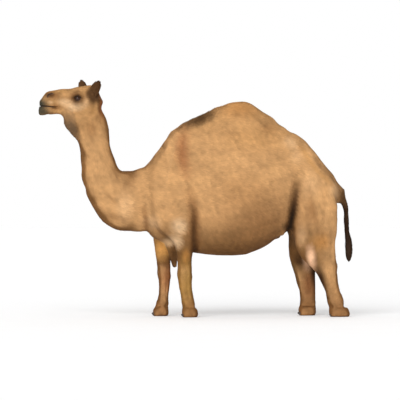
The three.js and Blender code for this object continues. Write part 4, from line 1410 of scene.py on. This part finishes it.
def make_lashes(length, colour):
    """Long curved lashes in rows on the upper lids, and short ones on the lower."""
    rng = np.random.default_rng(31)
    points = []
    for side in SIDES:
        _, ahead, up = eye_axes(side)
        for upper, count, reach in ((True, 84, length), (False, 40, length * 0.45)):
            for k in range(count):
                share = 0.12 + 0.8 * (k + rng.random()) / count
                root, way = lid_edge(side, share, upper)
                lean = ahead * (math.cos(math.pi * share) * 0.5 + rng.normal(0, 0.12))
                along_way = way * 0.9 + lean + up * (0.28 if upper else -0.5)
                along_way /= np.linalg.norm(along_way)
                droop = up * (-0.35 if upper else 0.1)
                own = reach * rng.uniform(0.7, 1.1) * math.sin(math.pi * (0.15 + 0.7 * share)) ** 0.5
                middle = root + along_way * own * 0.5
                tip = root + along_way * own * 0.92 + droop * own * 0.45
                half = ahead * 0.00055
                sunk = root - way * 0.0015
                back = middle + up * 0.0006
                points.append([sunk - half, sunk + half, middle - half, middle + half, back, tip])
    points = np.array(points)
    colours = np.tile(np.array(colour), (len(points), 6, 1)) * rng.uniform(0.7, 1.4, (len(points), 1, 1))
    on_map = np.zeros((len(points), 6, 2))
    columns = 20
    for k in range(len(points)):
        on_map[k] = (np.array(LONG_LOCK.on_map) * 0.4 + 0.5 + (k % columns, k // columns)) / columns
    return joined_tufts("eyelashes", points, LONG_LOCK, colours, on_map)


def make_toenail(node):
    """One toenail: the frame's block rounded, with a crown that dips into the toe."""
    nail = copy_of([node], f"toe{node}", grow=0.0012)
    apply_modifier(nail, "SUBSURF", levels=3, render_levels=3)
    points = places(nail)
    points[:, 0] += 0.009
    low, high = points.min(axis=0), points.max(axis=0)
    front = (high[0] - points[:, 0]) / (high[0] - low[0])
    height = (points[:, 2] - low[2]) / (high[2] - low[2])
    points[:, 2] -= 0.004 * front * height
    ridge = 0.0003 * np.sin(40 * (front + 0.3 * height))
    points += places(nail, "normal") * ridge[:, None]
    put(nail, points)
    shade_smooth(nail)
    return nail


# ---------- long hair ----------


def sized_by(where, length, width, lift):
    """A size of tufts that grows with how much the long hair belongs there, as (least, added)."""

    def size(points):
        fit = where(points)
        return length[0] + length[1] * fit, np.full(len(points), width), lift[0] + lift[1] * fit

    return size


def crest_lie(points, normals):
    """Back and up the hump, and away from its middle."""
    ways = np.tile((1.0, 0.0, 0.25), (len(points), 1))
    ways[:, 1] = 0.25 * np.sign(points[:, 1])
    return turned(laid(ways, normals), normals, 0.3 * SWIRL[1](points))


def forelock(points):
    """Where the short tuft of hair grows on top of the head."""
    ahead, left, up = in_head(points).T
    return bell((ahead + 0.125) / 0.075) * step(0.03, 0.06, up) * bell(left / 0.055)


def tail_size(points):
    """The long hair at the end of the tail, which thins to a point."""
    z = points[:, 2]
    bottom, top = TUFT_LOW[2], TUFT_HIGH[2]
    length = np.clip(z - bottom - 0.002, 0.035, 0.12)
    lift = ramp(z, [bottom, bottom + 0.07, top - 0.04, top + 0.05], [0.0, 0.006, 0.008, 0.001])
    return length, np.full(len(points), 0.004), lift


def tail_lie(points, normals):
    """Down, and in towards the point of the tail."""
    low = TUFT_LOW[2] - 0.03
    ways = np.array(((TUFT_LOW[0] + TUFT_HIGH[0]) / 2, 0, low)) - points
    ways -= 0.7 * normals * (ways * normals).sum(axis=1)[:, None]
    return ways / np.linalg.norm(ways, axis=1)[:, None]


def tail_area(points):
    z = points[:, 2]
    return on_tail(points) * step(TUFT_HIGH[2] + 0.07, TUFT_HIGH[2] + 0.01, z)


CREST_SIZE = sized_by(crest_hair, (0.03, 0.035), 0.0042, (0.004, 0.014))
BEARD_SIZE = sized_by(throat_hair, (0.025, 0.045), 0.0036, (0.003, 0.014))
FORELOCK_SIZE = sized_by(forelock, (0.018, 0.022), 0.003, (0.003, 0.009))
# The pieces of long hair: where it grows, how many tufts, their size and way, and how much they stray.
LONG_HAIR = {
    "hair_mane": (crest_hair, 7000, CREST_SIZE, crest_lie, 0.22),
    "hair_beard": (throat_hair, 5200, BEARD_SIZE, lie, 0.22),
    "hair_forelock": (forelock, 2200, FORELOCK_SIZE, lie, 0.22),
    "hair_tail": (tail_area, 4200, tail_size, tail_lie, 0.06),
}

# ---------- the sizes and colours that a user may change ----------


def colour_property(name, default, description):
    return FloatVectorProperty(
        name=name, description=description, subtype="COLOR", size=3, min=0, max=1, default=tuple(default)
    )


def number_property(name, description, default, low, high, unit="NONE"):
    return FloatProperty(name=name, description=description, default=default, min=low, max=high, unit=unit)


class CamelSkin(bpy.types.PropertyGroup):
    """Sizes of the skin."""

    voxel: number_property(
        "Skin fineness", "Size of the faces that the body starts with", 0.0105, 0.006, 0.03, "LENGTH"
    )
    most_triangles: IntProperty(
        name="Most triangles", description="The skin is thinned out to this many triangles",
        default=192000, min=50000,
    )
    bare: colour_property("Bare skin", srgb(70, 52, 42), "Colour of the lips, nostrils, lid edges and soles")
    pad: colour_property("Callus", srgb(80, 52, 26), "Colour of the callused pad")


class CamelCoat(bpy.types.PropertyGroup):
    """Sizes of the coat."""

    tufts: IntProperty(
        name="Tufts", description="Short tufts in the whole coat", default=330000, min=1000, max=370000
    )
    length: number_property("Length", "Length of the short tufts, against a summer coat", 1.0, 0.3, 2)


class CamelSmallParts(bpy.types.PropertyGroup):
    """Sizes and colours of the eyes, lashes and toenails."""

    iris: colour_property("Iris", srgb(62, 32, 14), "Colour of the iris")
    lash_length: number_property("Lash length", "Length of the upper lashes", 0.03, 0.005, 0.06, "LENGTH")
    lash: colour_property("Lashes", srgb(46, 32, 22), "Colour of the eyelashes")
    horn: colour_property("Toenails", srgb(66, 54, 44), "Colour of the toenails")


class CamelStage(bpy.types.PropertyGroup):
    """The floor, the lights and the camera."""

    floor: colour_property("Floor", (0.94, 0.94, 0.94), "Colour of the floor")
    fill: number_property("Fill", "Strength of the light from all round", 0.7, 0, 3)
    key: number_property("Key light", "Strength of the main light", 2.4, 0, 20)
    view_width: number_property("View width", "Width of the view at the camel", 3.6, 1, 10, "LENGTH")
    azimuth: number_property(
        "Azimuth", "How far the camera stands round from the left side",
        math.radians(-5), -math.pi, math.pi, "ROTATION",
    )


GROUPS = {"skin": CamelSkin, "coat": CamelCoat, "small_parts": CamelSmallParts, "stage": CamelStage}


def settings(group):
    return getattr(bpy.context.scene, f"camel_{group}")


# ---------- operators ----------


class CAMEL_OT_skin(bpy.types.Operator):
    """Make one smooth skin from all the parts of flesh"""

    bl_idname = "camel.skin"
    bl_label = "Skin"

    def execute(self, context):
        chosen = settings("skin")
        skin = make_skin(chosen.voxel, chosen.most_triangles)
        unwrap(skin)
        dress_skin(skin, chosen)
        hide_finish().give(skin)
        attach(skin, "root")
        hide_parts(*BODY_PARTS, *EARS)
        return {"FINISHED"}


def unwrap(skin):
    """Lays the skin out flat in a map of its own, which the coat's tufts share."""
    skin.data.uv_layers.new(name="OFBake")
    edit_mode(skin)
    bpy.ops.uv.smart_project(angle_limit=math.radians(72), island_margin=0.0015)
    object_mode()


def dress_skin(skin, chosen):
    """The markings under the coat, the bare places, and which way the flat hair runs."""
    points = places(skin)
    # The skin under the coat is a tenth darker, as painted shade between the tufts.
    colours = markings(points, places(skin, "normal")) * 0.9
    bare = bare_skin(points)
    on_pad = ((points[:, 2] > 0.3) & (points[:, 2] < 0.7))[:, None]
    paint(colours, 0.85 * bare, np.where(on_pad, np.array(chosen.pad), np.array(chosen.bare)))
    give_colours(skin.data, colours)
    give_amounts(skin.data, "bare", bare)
    give_amounts(skin.data, "upright", np.abs(lie(points, places(skin, "normal"))[:, 2]))


class CAMEL_OT_eyeballs(bpy.types.Operator):
    """Make the two eyeballs"""

    bl_idname = "camel.eyeballs"
    bl_label = "Eyeballs"

    def execute(self, context):
        for side in SIDES:
            ball = make_eyeball(side)
            eye_finish(side, settings("small_parts").iris).give(ball)
            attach(ball, "root")
            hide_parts(f"eye_{side}")
        return {"FINISHED"}


class CAMEL_OT_eyelashes(bpy.types.Operator):
    """Make the lashes on the lids"""

    bl_idname = "camel.eyelashes"
    bl_label = "Eyelashes"

    def execute(self, context):
        chosen = settings("small_parts")
        lashes = make_lashes(chosen.lash_length, chosen.lash)
        hair_finish("lash", 0.5, 0.3).give(lashes)
        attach(lashes, "root")
        return {"FINISHED"}


class CAMEL_OT_toenails(bpy.types.Operator):
    """Make the eight toenails"""

    bl_idname = "camel.toenails"
    bl_label = "Toenails"

    def execute(self, context):
        horn = nail_finish(settings("small_parts").horn)
        for node in sorted(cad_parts):
            if node.startswith("nail_"):
                nail = make_toenail(node)
                horn.give(nail)
                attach(nail, "root")
                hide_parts(node)
        return {"FINISHED"}


class CAMEL_OT_short_coat(bpy.types.Operator):
    """Cover the skin with short tufts that lie along it"""

    bl_idname = "camel.short_coat"
    bl_label = "Short coat"

    def execute(self, context):
        chosen = settings("coat")
        ground = Ground(bpy.data.objects["skin"])
        wanted = density(ground.middle, ground.bare)
        region = in_region(ground.middle)
        finish = hair_finish("short_hair", 0.75, 0.1)
        share = chosen.tufts / (ground.area * wanted).sum()
        for seed, name in enumerate(np.unique(region)):
            chance = wanted * (region == name)
            count = int((ground.area * chance).sum() * share)
            tufts = grow_tufts(str(name), ground, chance, count, 100 + seed, short_size)
            finish.give(tufts)
            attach(tufts, "root")
        return {"FINISHED"}


class CAMEL_OT_long_hair(bpy.types.Operator):
    """Grow the mane, the beard, the forelock and the end of the tail"""

    bl_idname = "camel.long_hair"
    bl_label = "Long hair"

    def execute(self, context):
        ground = Ground(bpy.data.objects["skin"])
        finish = hair_finish("long_hair", 0.6, 0.15)
        for seed, (name, (where, count, size, way, spread)) in enumerate(LONG_HAIR.items()):
            chance = where(ground.middle) * (1 - ground.bare)
            hair = grow_tufts(name, ground, chance, count, 200 + seed, size, way, LONG_LOCK, spread)
            finish.give(hair)
            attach(hair, "root")
        return {"FINISHED"}


class CAMEL_OT_stage(bpy.types.Operator):
    """Set a plain pale floor, soft lights and the camera"""

    bl_idname = "camel.stage"
    bl_label = "Stage"

    def execute(self, context):
        chosen = settings("stage")
        make_floor(chosen.floor)
        light_stage(chosen.fill, chosen.key)
        place_camera(chosen.view_width, chosen.azimuth)
        return {"FINISHED"}


def make_floor(colour):
    deselect_all()
    bpy.ops.mesh.primitive_plane_add(size=160)
    floor = bpy.context.object
    floor.name = floor.data.name = "floor"
    finish = Finish("pale_floor", Roughness=0.9)
    mottle = finish.noise(3.0)
    colour = np.array(colour)
    finish.drive("Base Color", finish.ramp(mottle, [(0.3, colour * 0.99), (0.7, colour)]))
    finish.give(floor)


def light_stage(fill, key):
    """A white world that looks fully bright and lights less than that, and a soft sun."""
    world = bpy.data.worlds.new("studio")
    bpy.context.scene.world = world
    world.use_nodes = True
    tree = world.node_tree
    around = tree.nodes["Background"]
    around.inputs["Strength"].default_value = fill
    backdrop = tree.nodes.new("ShaderNodeBackground")
    for background in (around, backdrop):
        background.inputs["Color"].default_value = (1, 1, 1, 1)
    seen = tree.nodes.new("ShaderNodeLightPath")
    either = tree.nodes.new("ShaderNodeMixShader")
    tree.links.new(seen.outputs["Is Camera Ray"], either.inputs[0])
    tree.links.new(around.outputs[0], either.inputs[1])
    tree.links.new(backdrop.outputs[0], either.inputs[2])
    tree.links.new(either.outputs[0], tree.nodes["World Output"].inputs["Surface"])
    bpy.ops.object.light_add(type="SUN", location=(-2, -4, 6))
    sun = bpy.context.object
    sun.name = "key"
    sun.data.energy = key
    sun.data.angle = math.radians(50)
    sun.rotation_mode = "QUATERNION"
    sun.rotation_quaternion = Vector((0.3, 0.8, -0.52)).to_track_quat("-Z", "Y")


VIEW_AIM = Vector((0.0334, 0, 1.0485))
VIEW_DISTANCE = 25


def place_camera(width, azimuth):
    camera = bpy.data.objects.new("camera", bpy.data.cameras.new("camera"))
    bpy.context.scene.collection.objects.link(camera)
    bpy.context.scene.camera = camera
    camera.data.sensor_width = 36
    camera.data.lens = camera.data.sensor_width * VIEW_DISTANCE / width
    camera.data.clip_end = 400
    back = Vector((math.sin(azimuth), -math.cos(azimuth), 0))
    camera.location = VIEW_AIM + back * VIEW_DISTANCE
    camera.rotation_mode = "QUATERNION"
    camera.rotation_quaternion = (-back).to_track_quat("-Z", "Y")
    bpy.context.scene.view_settings.view_transform = "Standard"


OPERATORS = (
    CAMEL_OT_skin,
    CAMEL_OT_eyeballs,
    CAMEL_OT_eyelashes,
    CAMEL_OT_toenails,
    CAMEL_OT_short_coat,
    CAMEL_OT_long_hair,
    CAMEL_OT_stage,
)


class CAMEL_PT_panel(bpy.types.Panel):
    """The steps that make the camel"""

    bl_label = "Camel"
    bl_idname = "CAMEL_PT_panel"
    bl_space_type = "VIEW_3D"
    bl_region_type = "UI"
    bl_category = "Camel"

    def draw(self, context):
        for operator in OPERATORS:
            self.layout.operator(operator.bl_idname)
        for group, kind in GROUPS.items():
            box = self.layout.box()
            for name in kind.__annotations__:
                box.prop(getattr(context.scene, f"camel_{group}"), name)


def register():
    for kind in (*GROUPS.values(), *OPERATORS, CAMEL_PT_panel):
        bpy.utils.register_class(kind)
    for group, kind in GROUPS.items():
        setattr(bpy.types.Scene, f"camel_{group}", PointerProperty(type=kind))


def unregister():
    for group in GROUPS:
        delattr(bpy.types.Scene, f"camel_{group}")
    for kind in (CAMEL_PT_panel, *reversed(OPERATORS), *GROUPS.values()):
        bpy.utils.unregister_class(kind)


def main():
    register()
    bpy.ops.camel.skin()
    bpy.ops.camel.eyeballs()
    bpy.ops.camel.eyelashes()
    bpy.ops.camel.toenails()
    bpy.ops.camel.short_coat()
    bpy.ops.camel.long_hair()
    bpy.ops.camel.stage()


if __name__ == "__main__":
    main()
